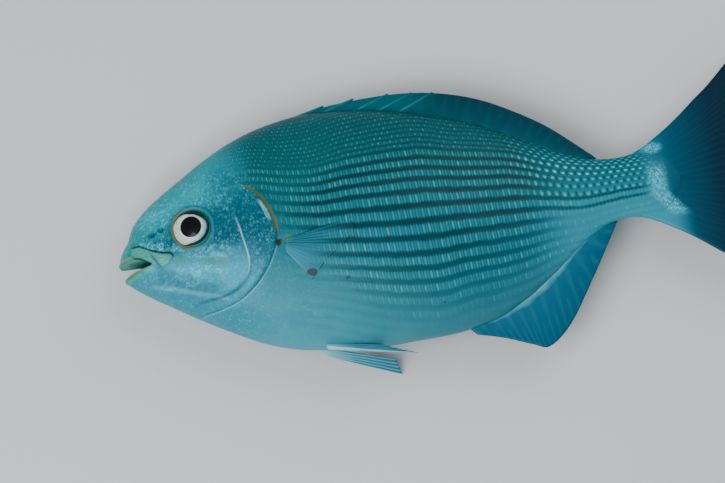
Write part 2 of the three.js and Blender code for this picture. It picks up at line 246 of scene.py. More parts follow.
@dataclass(frozen=True)
class BodyForm:
    """The body's true form: cross-sections along the axis, as in the solids."""

    back: Curve = cubic(PROFILE, 1)
    belly: Curve = cubic(PROFILE, 2)
    half_width: Curve = cubic(PROFILE, 3)
    back_pinch: float = 0.2
    belly_pinch: float = 0.04

    def middle(self, x: np.ndarray) -> np.ndarray:
        """Height halfway between belly and back."""
        return (self.back(x) + self.belly(x)) / 2

    def half_depth(self, x: np.ndarray) -> np.ndarray:
        """From there to the back or the belly."""
        return (self.back(x) - self.belly(x)) / 2

    def width_at(self, x: np.ndarray, up: np.ndarray) -> np.ndarray:
        """Half width at stations x, -1 (belly) to 1 (back) up, before the section's rounding."""
        return self.half_width(x) * (1 - np.where(up > 0, self.back_pinch, self.belly_pinch) * up * up)

    def section(self, x: np.ndarray, turn: np.ndarray) -> np.ndarray:
        """Places skin points.

        Args:
            x: stations along the body.
            turn: from the left flank (0) to the back (a quarter turn).
        Returns:
            Points in the fish's frame.
        """
        up = np.sin(turn)
        height = self.middle(x) + self.half_depth(x) * up
        return np.stack([x + 0 * turn, height, self.width_at(x, up) * np.cos(turn)], axis=-1)

    def skin_height(self, x: np.ndarray, y: np.ndarray) -> np.ndarray:
        """Half width of the body at x and y."""
        up = np.clip((y - self.middle(x)) / self.half_depth(x), -1, 1)
        return self.width_at(x, up) * np.sqrt(1 - up * up)


FORM = BodyForm()


@dataclass(frozen=True)
class EyePlace:
    """Where an eyeball sits, in the fish's frame."""

    x: float = -101.3
    y: float = 10.9
    radius: float = 10.6
    half_depth: float = 5.0
    stands_out: float = 2.6
    pitch: float = math.radians(-6)
    yaw: float = math.radians(-10)

    def centre(self) -> np.ndarray:
        """Middle of the left eyeball."""
        skin = float(FORM.skin_height(np.array(self.x), np.array(self.y)))
        return np.array([self.x, self.y, skin + self.stands_out - self.half_depth])

    def turned(self, local: np.ndarray) -> np.ndarray:
        """Points of the left eyeball from its own frame, whose +Z looks out of the head."""
        turn = Matrix.Rotation(self.yaw, 3, "Y") @ Matrix.Rotation(self.pitch, 3, "X")
        return local @ np.array(turn).T + self.centre()


EYE = EyePlace()


@dataclass(frozen=True, eq=False)
class Signal:
    """Number, vector or colour in a material's tree; arithmetic with it adds the nodes."""

    bench: Bench
    socket: bpy.types.NodeSocket

    def _with(self, operation: str, a: Amount, b: Amount) -> Signal:
        """Adds one step of arithmetic, on vectors where one comes in."""
        plain = self.socket.type == "VALUE" and not isinstance(b, tuple)
        return self.bench.add("Math" if plain else "VectorMath", {0: a, 1: b}, operation=operation)

    def __add__(self, other: Amount) -> Signal:
        """The sum."""
        return self._with("ADD", self, other)

    def __sub__(self, other: Amount) -> Signal:
        """The difference."""
        return self._with("SUBTRACT", self, other)

    def __rsub__(self, other: float) -> Signal:
        """What it leaves of a number."""
        return self._with("SUBTRACT", other, self)

    def __mul__(self, other: Amount) -> Signal:
        """The product; of two masks, where both are."""
        return self._with("MULTIPLY", self, other)

    def __truediv__(self, other: Amount) -> Signal:
        """The quotient."""
        return self._with("DIVIDE", self, other)

    def __pow__(self, other: float) -> Signal:
        """The power."""
        return self._with("POWER", self, other)

    def __or__(self, other: Amount) -> Signal:
        """The larger of two; of two masks, where either is."""
        return self._with("MAXIMUM", self, other)

    def __lt__(self, other: float) -> Signal:
        """1 where it lies under a number, else 0."""
        return self._with("LESS_THAN", self, other)

    def __abs__(self) -> Signal:
        """Its size without its sign."""
        return self.call("ABSOLUTE")

    def call(self, operation: str) -> Signal:
        """One step of arithmetic on it alone, such as FLOOR."""
        return self.bench.add("Math", {0: self}, operation=operation)

    def wave(self, count: float = 1) -> Signal:
        """Cosine with this many crests from one whole number to the next, one on each."""
        return (self * (math.tau * count)).call("COSINE")

    def clamped(self) -> Signal:
        """Itself, kept between 0 and 1."""
        self.socket.node.use_clamp = True
        return self

    def length(self) -> Signal:
        """Length of a vector."""
        return self.bench.add("VectorMath", {0: self}, out="Value", operation="LENGTH")

    def part(self, axis: str) -> Signal:
        """One coordinate of a vector."""
        return self.bench.add("SeparateXYZ", {0: self}, out=axis)


Amount = Union[Signal, float, tuple[float, float, float]]
Colour = Union[Signal, str]


@dataclass
class Bench:
    """Puts nodes into the tree of one material, which it makes."""

    name: str

    def __post_init__(self) -> None:
        """Starts with an empty tree."""
        self.material = bpy.data.materials.new(self.name)
        self.material.use_nodes = True
        self.tree = self.material.node_tree
        self.tree.nodes.clear()

    def add(self, kind: str, inputs: dict | None = None, out: int | str = 0, **settings: object) -> Signal:
        """Adds a node, fills or links its inputs and gives one of its outputs.

        Args:
            kind: node type without its ShaderNode prefix.
            inputs: socket name or number to a value or a signal.
            out: which output to give back.
            settings: the node's own properties.
        Returns:
            What comes out of it.
        """
        node = self.tree.nodes.new("ShaderNode" + kind)
        for key, value in settings.items():
            setattr(node, key, value)
        for key, value in (inputs or {}).items():
            if isinstance(value, Signal):
                self.tree.links.new(value.socket, node.inputs[key])
            else:
                node.inputs[key].default_value = value
        return Signal(self, node.outputs[out])

    def place(self) -> Signal:
        """Place in the fish's own frame in millimetres, from object coordinates."""
        return self.add("TexCoord", out="Object") * ((1 / MM,) * 3) - tuple(SHIFT)

    def carried(self, name: str) -> Signal:
        """A number that the mesh carries at its points."""
        return self.add("Attribute", out="Fac", attribute_name=name, attribute_type="GEOMETRY")

    def over(self, below: Colour, top: Colour, share: Amount) -> Signal:
        """Lays a share of one colour over another; either is a signal or a hex code."""
        first, second = (linear(c) if isinstance(c, str) else c for c in (below, top))
        return self.add("Mix", {0: share, 6: first, 7: second}, out=2, data_type="RGBA")

    def toned(self, value: Signal, stops: Sequence[tuple[float, str]]) -> Signal:
        """Reads a colour off a scale.

        Args:
            value: place on the scale, from 0 to 1.
            stops: places and their hex codes.
        Returns:
            The colour.
        """
        colour = self.add("ValToRGB", {0: value})
        elements = colour.socket.node.color_ramp.elements
        while len(elements) < len(stops):
            elements.new(0.5)
        for element, (place, code) in zip(elements, stops):
            element.position = place
            element.color = linear(code)
        return colour

    def step(self, value: Signal, low: float, high: float) -> Signal:
        """Smooth step of a value.

        Args:
            value: what steps.
            low, high: where the step is 0 and 1; low may lie above high.
        Returns:
            The step, from 0 to 1.
        """
        down = low > high
        inputs = {"Value": value, "From Min": min(low, high), "From Max": max(low, high)}
        inputs |= {"To Min": float(down), "To Max": float(not down)}
        return self.add("MapRange", inputs, interpolation_type="SMOOTHSTEP")

    def band(self, value: Signal, centre: float, half: float, soft: float) -> Signal:
        """1 within half of centre, falling to 0 over soft."""
        return self.step(abs(value - centre), half + soft, half)

    def near(self, where: Signal, centre: Sequence[float], size: Sequence[float], soft: float) -> Signal:
        """1 in an ellipse of the side view, falling to 0 outside it.

        Args:
            where: place in the fish's frame.
            centre: x and y of its middle in millimetres.
            size: half axes along x and y.
            soft: share of the radius over which it fades.
        Returns:
            The mask.
        """
        off = (where - (*centre, 0.0)) * (1 / size[0], 1 / size[1], 0.0)
        return self.step(off.length(), 1 + soft, 1 - soft)

    def streak(self, where: Signal, ends: Sequence[float], half: float, soft: float) -> Signal:
        """1 along a straight line of the side view.

        Args:
            where: place in the fish's frame.
            ends: x, y of one end and x, y of the other, the first with the lower x.
            half, soft: half width and the fading beyond it.
        Returns:
            The mask.
        """
        ax, ay, bx, by = ends
        x, y = where.part("X"), where.part("Y")
        slope = (by - ay) / (bx - ax)
        off = (y + (x * -slope + (slope * ax - ay))) * math.cos(math.atan(slope))
        length = self.step(x, ax - soft, ax + soft) * self.step(x, bx + soft, bx - soft)
        return self.band(off, 0.0, half, soft) * length

    def patches(self, where: Signal, per_mm: float, detail: float = 2.0, rough: float = 0.5) -> Signal:
        """Uneven value from 0 to 1, in patches about 1 / per_mm millimetres wide."""
        return self.add("TexNoise", {"Vector": where, "Scale": per_mm, "Detail": detail, "Roughness": rough})

    def sway(self, where: Signal, per_mm: float, detail: float, amount: float) -> Signal:
        """Such a value about zero, up to half of amount either way."""
        return (self.patches(where, per_mm, detail) - 0.5) * amount

    def worn(self, edge: str, height: Signal, per_mm: float, start: float, scale: float = 1.0) -> Signal:
        """Uneven share that follows an edge of a plate.

        Args:
            edge: name of the distance to it, which the mesh carries.
            height: coordinate that runs along it.
            per_mm: patches to a millimetre.
            start, scale: the share's least value and its range, before it is kept from 0 to 1.
        Returns:
            The share.
        """
        place = self.add("CombineXYZ", {"X": self.carried(edge), "Y": height * 0.25})
        return (self.patches(place, per_mm) * scale + start).clamped()

    def glints(self, where: Signal, per_mm: float, dim: float, full: float) -> tuple[Signal, Signal]:
        """Small cells that each shine in their middle.

        Args:
            where: place in the fish's frame.
            per_mm: cells to a millimetre.
            dim, full: distances from a cell's middle where its light is gone and where it is full.
        Returns:
            The light in each cell and the cell's own chance, both from 0 to 1.
        """
        cells = {"Vector": where, "Scale": per_mm}
        chance = self.add("TexVoronoi", cells, out="Color").part("X")
        return self.step(self.add("TexVoronoi", cells), dim, full), chance

    def finish(
        self, relief: tuple[Signal, float, float] | None = None, **sockets: object
    ) -> bpy.types.Material:
        """Ends the tree with the surface shader.

        Args:
            relief: height, strength and depth in millimetres of the fine relief.
            sockets: values for the shader's own sockets.
        Returns:
            The material.
        """
        if relief:
            height, strength, depth = relief
            bump = {"Height": height, "Strength": strength, "Distance": depth * MM}
            sockets["normal"] = self.add("Bump", bump)
        names = {key: key.replace("_", " ").title().replace("Ior", "IOR") for key in sockets}
        shader = self.add("BsdfPrincipled", {names[key]: value for key, value in sockets.items()})
        output = self.tree.nodes.new("ShaderNodeOutputMaterial")
        self.tree.links.new(shader.socket, output.inputs["Surface"])
        return self.material


def mesh_object(name: str, bm: bmesh.types.BMesh, material: bpy.types.Material) -> bpy.types.Object:
    """Puts a mesh under work into the scene, at the origin and smooth shaded.

    Args:
        name: the piece's name.
        bm: the mesh, which is freed.
        material: its one finish.
    Returns:
        The piece.
    """
    bmesh.ops.recalc_face_normals(bm, faces=bm.faces)
    mesh = bpy.data.meshes.new(name)
    bm.to_mesh(mesh)
    bm.free()
    mesh.shade_smooth()
    mesh.materials.append(material)
    thing = bpy.data.objects.new(name, mesh)
    bpy.context.scene.collection.objects.link(thing)
    return thing


def carry(mesh: bpy.types.Mesh, name: str, values: np.ndarray) -> None:
    """Stores one number for each point of a mesh."""
    mesh.attributes.new(name, "FLOAT", "POINT").data.foreach_set("value", values.astype(np.float32))


def to_frame(points: np.ndarray) -> np.ndarray:
    """Fish frame in millimetres to the shared frame in metres."""
    return (points + SHIFT) * MM


class Slot(Enum):
    """Names of two material slots."""

    SKIN = "skin"
    EYE = "eye"


def declare(thing: bpy.types.Object, node: str) -> None:
    """Hangs a piece under the root body and hides the CAD part it stands for.

    Args:
        thing: the piece.
        node: name of the node.
    """
    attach(thing, "root")
    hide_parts(node)


# Narrow part before the tail fin, under and over the line of the body.
NARROW_LOW, NARROW = "#2b8da3", "#006e80"
# Wet fish skin: a trace of metal from its silver layer, under a water film.
WET = {"metallic": 0.1, "ior": 1.38, "coat_roughness": 0.14}


def tail_tone(b: Bench, where: Signal) -> Signal:
    """Colour from the tail base to the dark hind edge of the tail fin.

    Args:
        b: the material's bench.
        where: place in the fish's frame.
    Returns:
        The colour, darker over the line of the body.
    """
    x, y = where.part("X"), where.part("Y")
    base = b.over(NARROW_LOW, NARROW, b.step(y, -10.0, 6.0))
    stops = ((0.0, "#06687e"), (0.22, "#01485e"), (0.5, "#00243a"), (1.0, "#000e1c"))
    blade = b.toned((x - 140.0) * (1 / 76), stops)
    return b.over(base, blade, b.step(x - b.step(y, -8.0, -20.0) * 9.0, 138.0, 154.0))


def tail_base_glints(b: Bench, where: Signal) -> Signal:
    """Painted glints of fine scales in a crescent where the body goes over into the tail fin.

    Args:
        b: the material's bench.
        where: place in the fish's frame.
    Returns:
        Their mask.
    """
    x, y = where.part("X"), where.part("Y")
    crescent = b.band(x - ((-6.0 - y) | 0.0) * 0.8, 145.0, 1.6, 5.2)
    height = b.step(y, 13.0, 3.0) * b.step(y, -21.0, -15.0)
    top = b.near(where, (144.5, 18.5), (5.0, 2.6), 0.5)
    # The scales on the fin's root are about 0.9 mm wide.
    grain, chance = b.glints(where, 1.1, 0.8, 0.2)
    haze = b.patches(where, 0.5, 3.0) * 0.5
    return (crescent * height | top) * (grain * chance + haze).clamped()


@dataclass(frozen=True)
class SkinFinish:
    """Wet scaly skin: teal back, dark lengthwise stripes between rows of scales, pale belly."""

    tones: tuple[tuple[float, str], ...] = (
        (0.0, "#489fb2"), (0.12, "#30899b"), (0.25, "#1a7685"), (0.4, "#0c6b7c"),
        (0.52, "#04606c"), (0.72, "#00575d"), (1.0, "#005259"),
    )
    head_tones: tuple[tuple[float, str], ...] = (
        (0.0, "#2f8ba0"), (0.18, "#2d89a0"), (0.34, "#1f92ac"), (0.5, "#00505f"),
        (0.66, "#006a79"), (0.82, "#0ca2b2"), (1.0, "#008692"),
    )
    stripe: str = "#002e35"
    shaded: str = "#004454"
    scale: str = "#1f8e9b"
    glint: str = "#68d6de"
    # Painted silver sheen and glints of the scales.
    silver_sheen: str = "#5ad6ee"
    cover: str = "#004a62"
    snout: str = "#0a868d"
    brow: str = "#12a6ba"
    lip: str = "#63b89c"
    ochre: str = "#6d6618"
    edge: str = "#8fd6de"
    # Near black of the painted shade inside the open mouth and in the groove over the jaw.
    mouth_shade: str = "#021820"
    stain: str = "#221f0e"
    olive: str = "#4f8560"
    roughness: float = 0.34
    coat: float = 0.06

    def material(self) -> bpy.types.Material:
        """Builds the finish from the numbers that the skin carries.

        Returns:
            The material.
        """
        b = Bench("wet_scaly_skin")
        where = b.place()
        tone = (b.carried("height") * 0.5 + 0.5 + b.sway(where, 0.09, 3.0, 0.1)).clamped()
        colour, keys = self.flank(b, where, tone)
        # Painted glints of the bright scales round the tail base.
        colour = b.over(colour, self.silver_sheen, tail_base_glints(b, where) * 0.9)
        colour, flecks = self._head(b, where, tone, colour)
        colour = self._face(b, where, self._edges(b, where, colour))
        roughness = b.patches(where, 0.3, 3.0) * 0.14 + self.roughness
        return b.finish(
            base_color=self.dirt(b, where, colour), roughness=roughness, specular_ior_level=0.2,
            coat_weight=self.coat, relief=(keys * 0.7 + flecks, 0.5, 0.3), **WET,
        )

    def flank(self, b: Bench, where: Signal, tone: Signal) -> tuple[Signal, Signal]:
        """Colours the trunk with its rows.

        Args:
            b: the material's bench.
            where: place in the fish's frame.
            tone: 0 at the belly, 1 at the back.
        Returns:
            The colour and the height of the scale edges.
        """
        x, y = where.part("X"), where.part("Y")
        rear = b.step(x, -60.0, 50.0) * b.step(x, 104.0, 80.0) * b.step(tone, 0.62, 0.3)
        colour = b.over(b.toned(tone, self.tones), self.shaded, rear * 0.55)
        narrow = b.over(NARROW_LOW, NARROW, b.step(y, -10.0, 6.0))
        return self._rows(b, where, b.over(colour, narrow, b.step(x, 66.0, 100.0) * 0.7))

    def _stripe_strength(self, b: Bench, where: Signal, row: Signal) -> Signal:
        """How dark a stripe is: patchy, and fading to head, tail, back and belly.

        Args:
            b: the material's bench.
            where: place in the fish's frame.
            row: row number.
        Returns:
            A share from 0 to 1.
        """
        x = where.part("X")
        patchy = (b.patches(where, 0.05) * 0.4 + 0.78).clamped()
        front = b.step(x - abs(row - 1.0) * 4.0, -64.0, -36.0)
        high = b.step(row + b.step(x, -50.0, 20.0) * 1.4, -4.4, -0.6) * 0.75 + 0.25
        tail = b.step(x, 100.0, 72.0) | b.band(row, 1.5, 0.7, 0.4) * b.step(x, 147.0, 134.0) * 0.85
        faint = b.step(x, 30.0, 75.0) * b.step(row, 1.5, 4.5) * 0.5
        return b.step(row, 10.0, 2.0) * (1.0 - faint) * high * front * tail * patchy * 0.92

    def _rows(self, b: Bench, where: Signal, ground: Signal) -> tuple[Signal, Signal]:
        """Dark stripes and the ticks of scale edges in the light rows between.

        Stripes lie at whole row numbers; high on the back they lie twice as close.

        Args:
            b: the material's bench.
            where: place in the fish's frame.
            ground: colour under them.
        Returns:
            The colour and the height of the scale edges.
        """
        x = where.part("X")
        row = b.carried("row") + b.sway(where, 0.16, 2.0, 0.22)
        close = row < float(CLOSE_ROWS)
        line_row = row * (close + 1.0)
        line = line_row.call("FLOOR")
        along = b.carried("along") + line * 0.5
        spot = along.call("FRACT")
        wave = line_row.wave() - (spot * 2.0 - 0.7).wave() * 0.22
        stripes = b.step(wave, -0.5, 1.1) * self._stripe_strength(b, where, row)
        colour = b.over(ground, self.stripe, stripes)

        scale = b.add("CombineXYZ", {"X": along.call("FLOOR"), "Y": line})
        chance = b.add("TexWhiteNoise", {"Vector": scale}, noise_dimensions="2D")
        ticks = (b.band(spot, 0.35, 0.04, 0.3) + b.band(spot, 0.84, 0.03, 0.13) * 0.7).clamped()
        fade = b.step(x - row * 6.0, -84.0, -42.0) * b.step(row, 11.0, 5.5) * b.step(x, 157.0, 146.0)
        fade = fade * b.step(wave, 0.5, -0.4)
        amount = (chance * 0.3 + 0.42) * (1.0 - close * 0.5)
        colour = b.over(colour, self.scale, ticks * fade * amount)
        # Painted glints on some single scales.
        fleck = b.band(spot, 0.35, 0.03, 0.19) * fade * b.step(wave, -0.2, -0.9) * chance**2.0
        colour = b.over(colour, self.glint, fleck * 0.2)

        # Net of single scales over the tail base: a painted glint on the lower edge of each, painted shade
        # in the hollows between them.
        upper_tail = b.step(x, 62.0, 94.0) * b.step(row, 1.4, 0.5)
        off = (along + 0.15).call("FRACT") - 0.5
        height = line_row - line - 0.5
        hollow = b.step(abs(off), 0.26, 0.46) * b.step(abs(height), 0.44, 0.16) * b.step(x, 146.0, 134.0)
        colour = b.over(colour, self.shaded, hollow * upper_tail * 0.85)
        shine = b.step(abs(off), 0.32, 0.06) * b.band(height + off * off * 1.6, 0.1, 0.06, 0.16)
        rank = b.band(row, -3.2, 0.9, 1.4) * 0.65 + 0.32
        net = shine * b.step(x, 157.0, 142.0) * upper_tail * rank * (chance * 0.4 + 0.6)
        colour = b.over(colour, self.glint, net)
        colour = b.over(colour, tail_tone(b, where), b.step(x, 134.0, 148.0))
        return colour, ticks * fade + net

    def _head(self, b: Bench, where: Signal, tone: Signal, ground: Signal) -> tuple[Signal, Signal]:
        """Head colours with painted silver sheen and painted glints of their very small scales.

        Args:
            b: the material's bench.
            where: place in the fish's frame.
            tone: 0 at the belly, 1 at the back.
            ground: colour of the trunk.
        Returns:
            The colour and the height of the flecks.
        """
        x, y = where.part("X"), where.part("Y")
        fore = b.step(b.carried("gill"), -1.0, 0.6) | b.step(x, -62.0, -92.0)
        cover = b.near(where, (-70, 6), (11, 26), 0.4) * b.step(b.carried("cheek"), 1.0, -0.6)
        head = b.over(b.toned(tone, self.head_tones), self.cover, cover * 0.6)
        for code, centre, size, soft, share in (
            (self.cover, (-84, 9), (8, 12), 0.6, 0.5), (self.cover, (-83, 33), (8, 7), 0.7, 0.55),
            (self.brow, (-124, 17), (12, 9), 0.6, 0.35), (self.snout, (-136, 12), (9, 13), 0.5, 0.7),
        ):
            head = b.over(head, code, b.near(where, centre, size, soft) * share)
        colour = b.over(ground, head, fore)

        # Where painted silver sheen and glints go: a band under the eye, the cheek, nape and crown, less on
        # the breast and the rest of the head.
        band = b.streak(where, (-132, 6.6, -104, 0.6), 1.2, 1.8)
        band = band | b.streak(where, (-106, 0.2, -84, -6.0), 2.0, 3.0)
        cheek = b.near(where, (-103, -14), (15, 5), 0.5)
        nape = b.near(where, (-90, 29), (20, 10), 0.6)
        crown = b.near(where, (-122, 21), (14, 10), 0.6)
        breast = b.step(x, -10.0, -70.0) * b.step(y, 30.0, -10.0)
        shine = fore * 0.3 + breast * 0.16 + band + cheek + nape * 0.5 + crown * 0.75
        # Scales of the head are finer than half a millimetre; drawn about 1 mm wide, so that they show.
        grain, chance = b.glints(where * (1.15, 0.8, 1.0), 1.0, 0.85, 0.25)
        patch = b.step(b.patches(where, 0.3, 5.0, 0.75), 0.4, 0.6)
        flecks = grain * chance**1.2 * (patch * 0.85 + 0.15) * shine
        # Painted silver sheen over the band and the cheek, then painted glints of single small scales.
        colour = b.over(colour, self.silver_sheen, (band | cheek * 0.6) * patch * 0.35)
        colour = b.over(colour, self.silver_sheen, flecks)
        low_jaw = b.streak(where, (-123, -9.2, -94, -24.0), 2.0, 3.0)
        throat = b.streak(where, (-127, -15.0, -88, -28.5), 0.3, 1.5)
        return b.over(b.over(colour, self.cover, low_jaw * 0.4), self.edge, throat * 0.25), flecks

    def _edges(self, b: Bench, where: Signal, colour: Signal) -> Signal:
        """Pale rims at gill cover and cheek with painted shade in the cleft behind the gill cover and under
        the cheek, and the ochre mark over them.

        Args:
            b: the material's bench.
            where: place in the fish's frame.
            colour: colour under them.
        Returns:
            The colour with them.
        """
        x, y = where.part("X"), where.part("Y")
        gill, cheek = b.carried("gill"), b.carried("cheek")
        hind = b.step(y, 28.0, 22.0) * b.step(x, -108.0, -98.0)
        behind = b.band(gill, -0.9, 0.05, 0.6) * hind * b.step(y, 2.0, -14.0) * b.worn("gill", y, 0.8, 0.1)
        cheek_hind = b.step(x, -92.0, -80.0) * b.step(y, 16.0, 4.0) * b.step(y, -22.0, -12.0)
        ridge = b.band(cheek, 0.35, 0.1, 0.6) * cheek_hind * b.worn("cheek", y, 1.0, 0.25)
        under = b.band(cheek, -0.3, 0.3, 0.9) * b.step(x, -112.0, -98.0) * b.step(y, -8.0, -15.0)
        pale = b.band(gill, 2.1, 0.5, 0.7) * b.step(y, 6.0, 10.0) * b.step(y, 21.0, 17.0)
        pale = pale * b.step(x, -80.0, -76.0) * b.worn("gill", y, 1.2, -0.1, 1.2)
        top = b.step(y, -1.0, 4.0) * b.step(y, 30.5, 27.0) * b.step(x, -74.0, -69.0)
        ochre = b.band(gill, -0.35, 0.45, 0.7) * top * b.worn("gill", y, 0.7, 0.35)
        # Painted shade in the cleft at the gill cover's hind edge, in the stripes' dark colour.
        cleft = b.band(gill, 0.0, 0.1, 0.6) * hind
        for code, share in (
            (self.edge, behind * 0.6), (self.stripe, cleft * 0.3), (self.edge, ridge),
            (self.shaded, under * 0.45), (self.edge, pale), (self.ochre, ochre * 0.9),
        ):
            colour = b.over(colour, code, share)
        return colour

    def _face(self, b: Bench, where: Signal, colour: Signal) -> Signal:
        """Olive cheek band, painted shade in the nostrils, rim of the eye, pale green jaws, and painted
        shade in the jaw creases and the open mouth.

        Args:
            b: the material's bench.
            where: place in the fish's frame.
            colour: colour under them.
        Returns:
            The colour with them.
        """
        x, y = where.part("X"), where.part("Y")
        olive = b.streak(where, (-113, -4.2, -82, -10.4), 0.9, 1.8)
        olive = olive * b.step(b.patches(where, 0.25, 3.0), 0.35, 0.6)
        colour = b.over(colour, self.olive, olive * 0.65)
        # Painted shade in the two nostrils.
        for centre, size in (((-123.1, 11.2), (2.6, 1.6)), ((-118.4, 13.2), (2.2, 1.2))):
            colour = b.over(colour, self.cover, b.near(where, centre, size, 0.5) * 0.8)
        away = ((where - (EYE.x, EYE.y, 0.0)) * (1.0, 1.0, 0.0)).length()
        rim = b.over(self.ochre, self.snout, b.step(x, -108.0, -100.0))
        colour = b.over(colour, rim, b.band(away, 10.7, 0.5, 0.9) * 0.75)
        colour = b.over(colour, self.cover, b.band(away, 12.2, 0.3, 0.9) * 0.45)

        jaw, gape = b.carried("jaw"), b.carried("gape")
        beak = b.step(jaw, -0.3, 0.6) | b.step(gape, -4.6, -2.2) * b.step(x, -122.0, -129.0)
        worn = b.step(b.patches(where * (0.35, 1.3, 0.35), 0.8, 4.0, 0.65), 0.34, 0.66)
        colour = b.over(colour, b.over(self.snout, self.lip, worn * 0.6 + 0.3), beak * 0.85)
        # Painted shade: a dark crease at the front of the upper jaw bone, a dark groove along the upper jaw
        # near the snout, and the near black inside of the open mouth.
        crease = b.streak(where, (-125.8, 1.8, -120.2, -7.6), 0.25, 0.8)
        tip = b.near(where, (-115.4, -2.4), (2.2, 2.0), 0.6)
        brown = b.band(gape, -0.9, 0.3, 0.8) * b.step(x, -128.0, -134.0)
        groove = b.band(jaw, -0.5, 0.25, 0.6) * b.step(x, -137.0, -133.0) * b.step(y, -4.0, -1.0)
        for code, share in (
            (self.cover, crease * beak * 0.6), (self.olive, tip * beak * 0.5), (self.ochre, brown * 0.55),
            (self.mouth_shade, groove * 0.8), (self.mouth_shade, b.step(gape, 0.1, 1.0)),
        ):
            colour = b.over(colour, code, share)
        return colour

    def dirt(self, b: Bench, where: Signal, colour: Signal) -> Signal:
        """The brown spot, the olive fin root and the small dark marks of the left flank.

        Args:
            b: the material's bench.
            where: place in the fish's frame.
            colour: colour under them.
        Returns:
            The colour with them.
        """
        grain = b.add("TexNoise", {"Vector": where, "Scale": 0.5}, out="Color")
        uneven = where + (grain - (0.5, 0.5, 0.5)) * (2.0, 2.0, 0.0)
        left = b.step(where.part("Z"), 0.0, 2.0)
        root = b.near(uneven, (-53.4, -3.4), (3.4, 2.0), 0.5)
        colour = b.over(colour, self.olive, root * left * 0.35)
        for centre, size, share in (
            ((-42.6, -22.8), (2.9, 1.9), 0.85), ((-57.6, -4.6), (1.8, 2.0), 0.95),
            ((-24.6, -28.6), (1.3, 0.8), 0.7), ((-0.8, -12.2), (0.8, 1.5), 0.6),
            ((23.5, -48.0), (0.8, 0.8), 0.5), ((39.0, -66.0), (0.8, 0.8), 0.5),
        ):
            colour = b.over(colour, self.stain, b.near(uneven, centre, size, 0.3) * left * share)
        return colour


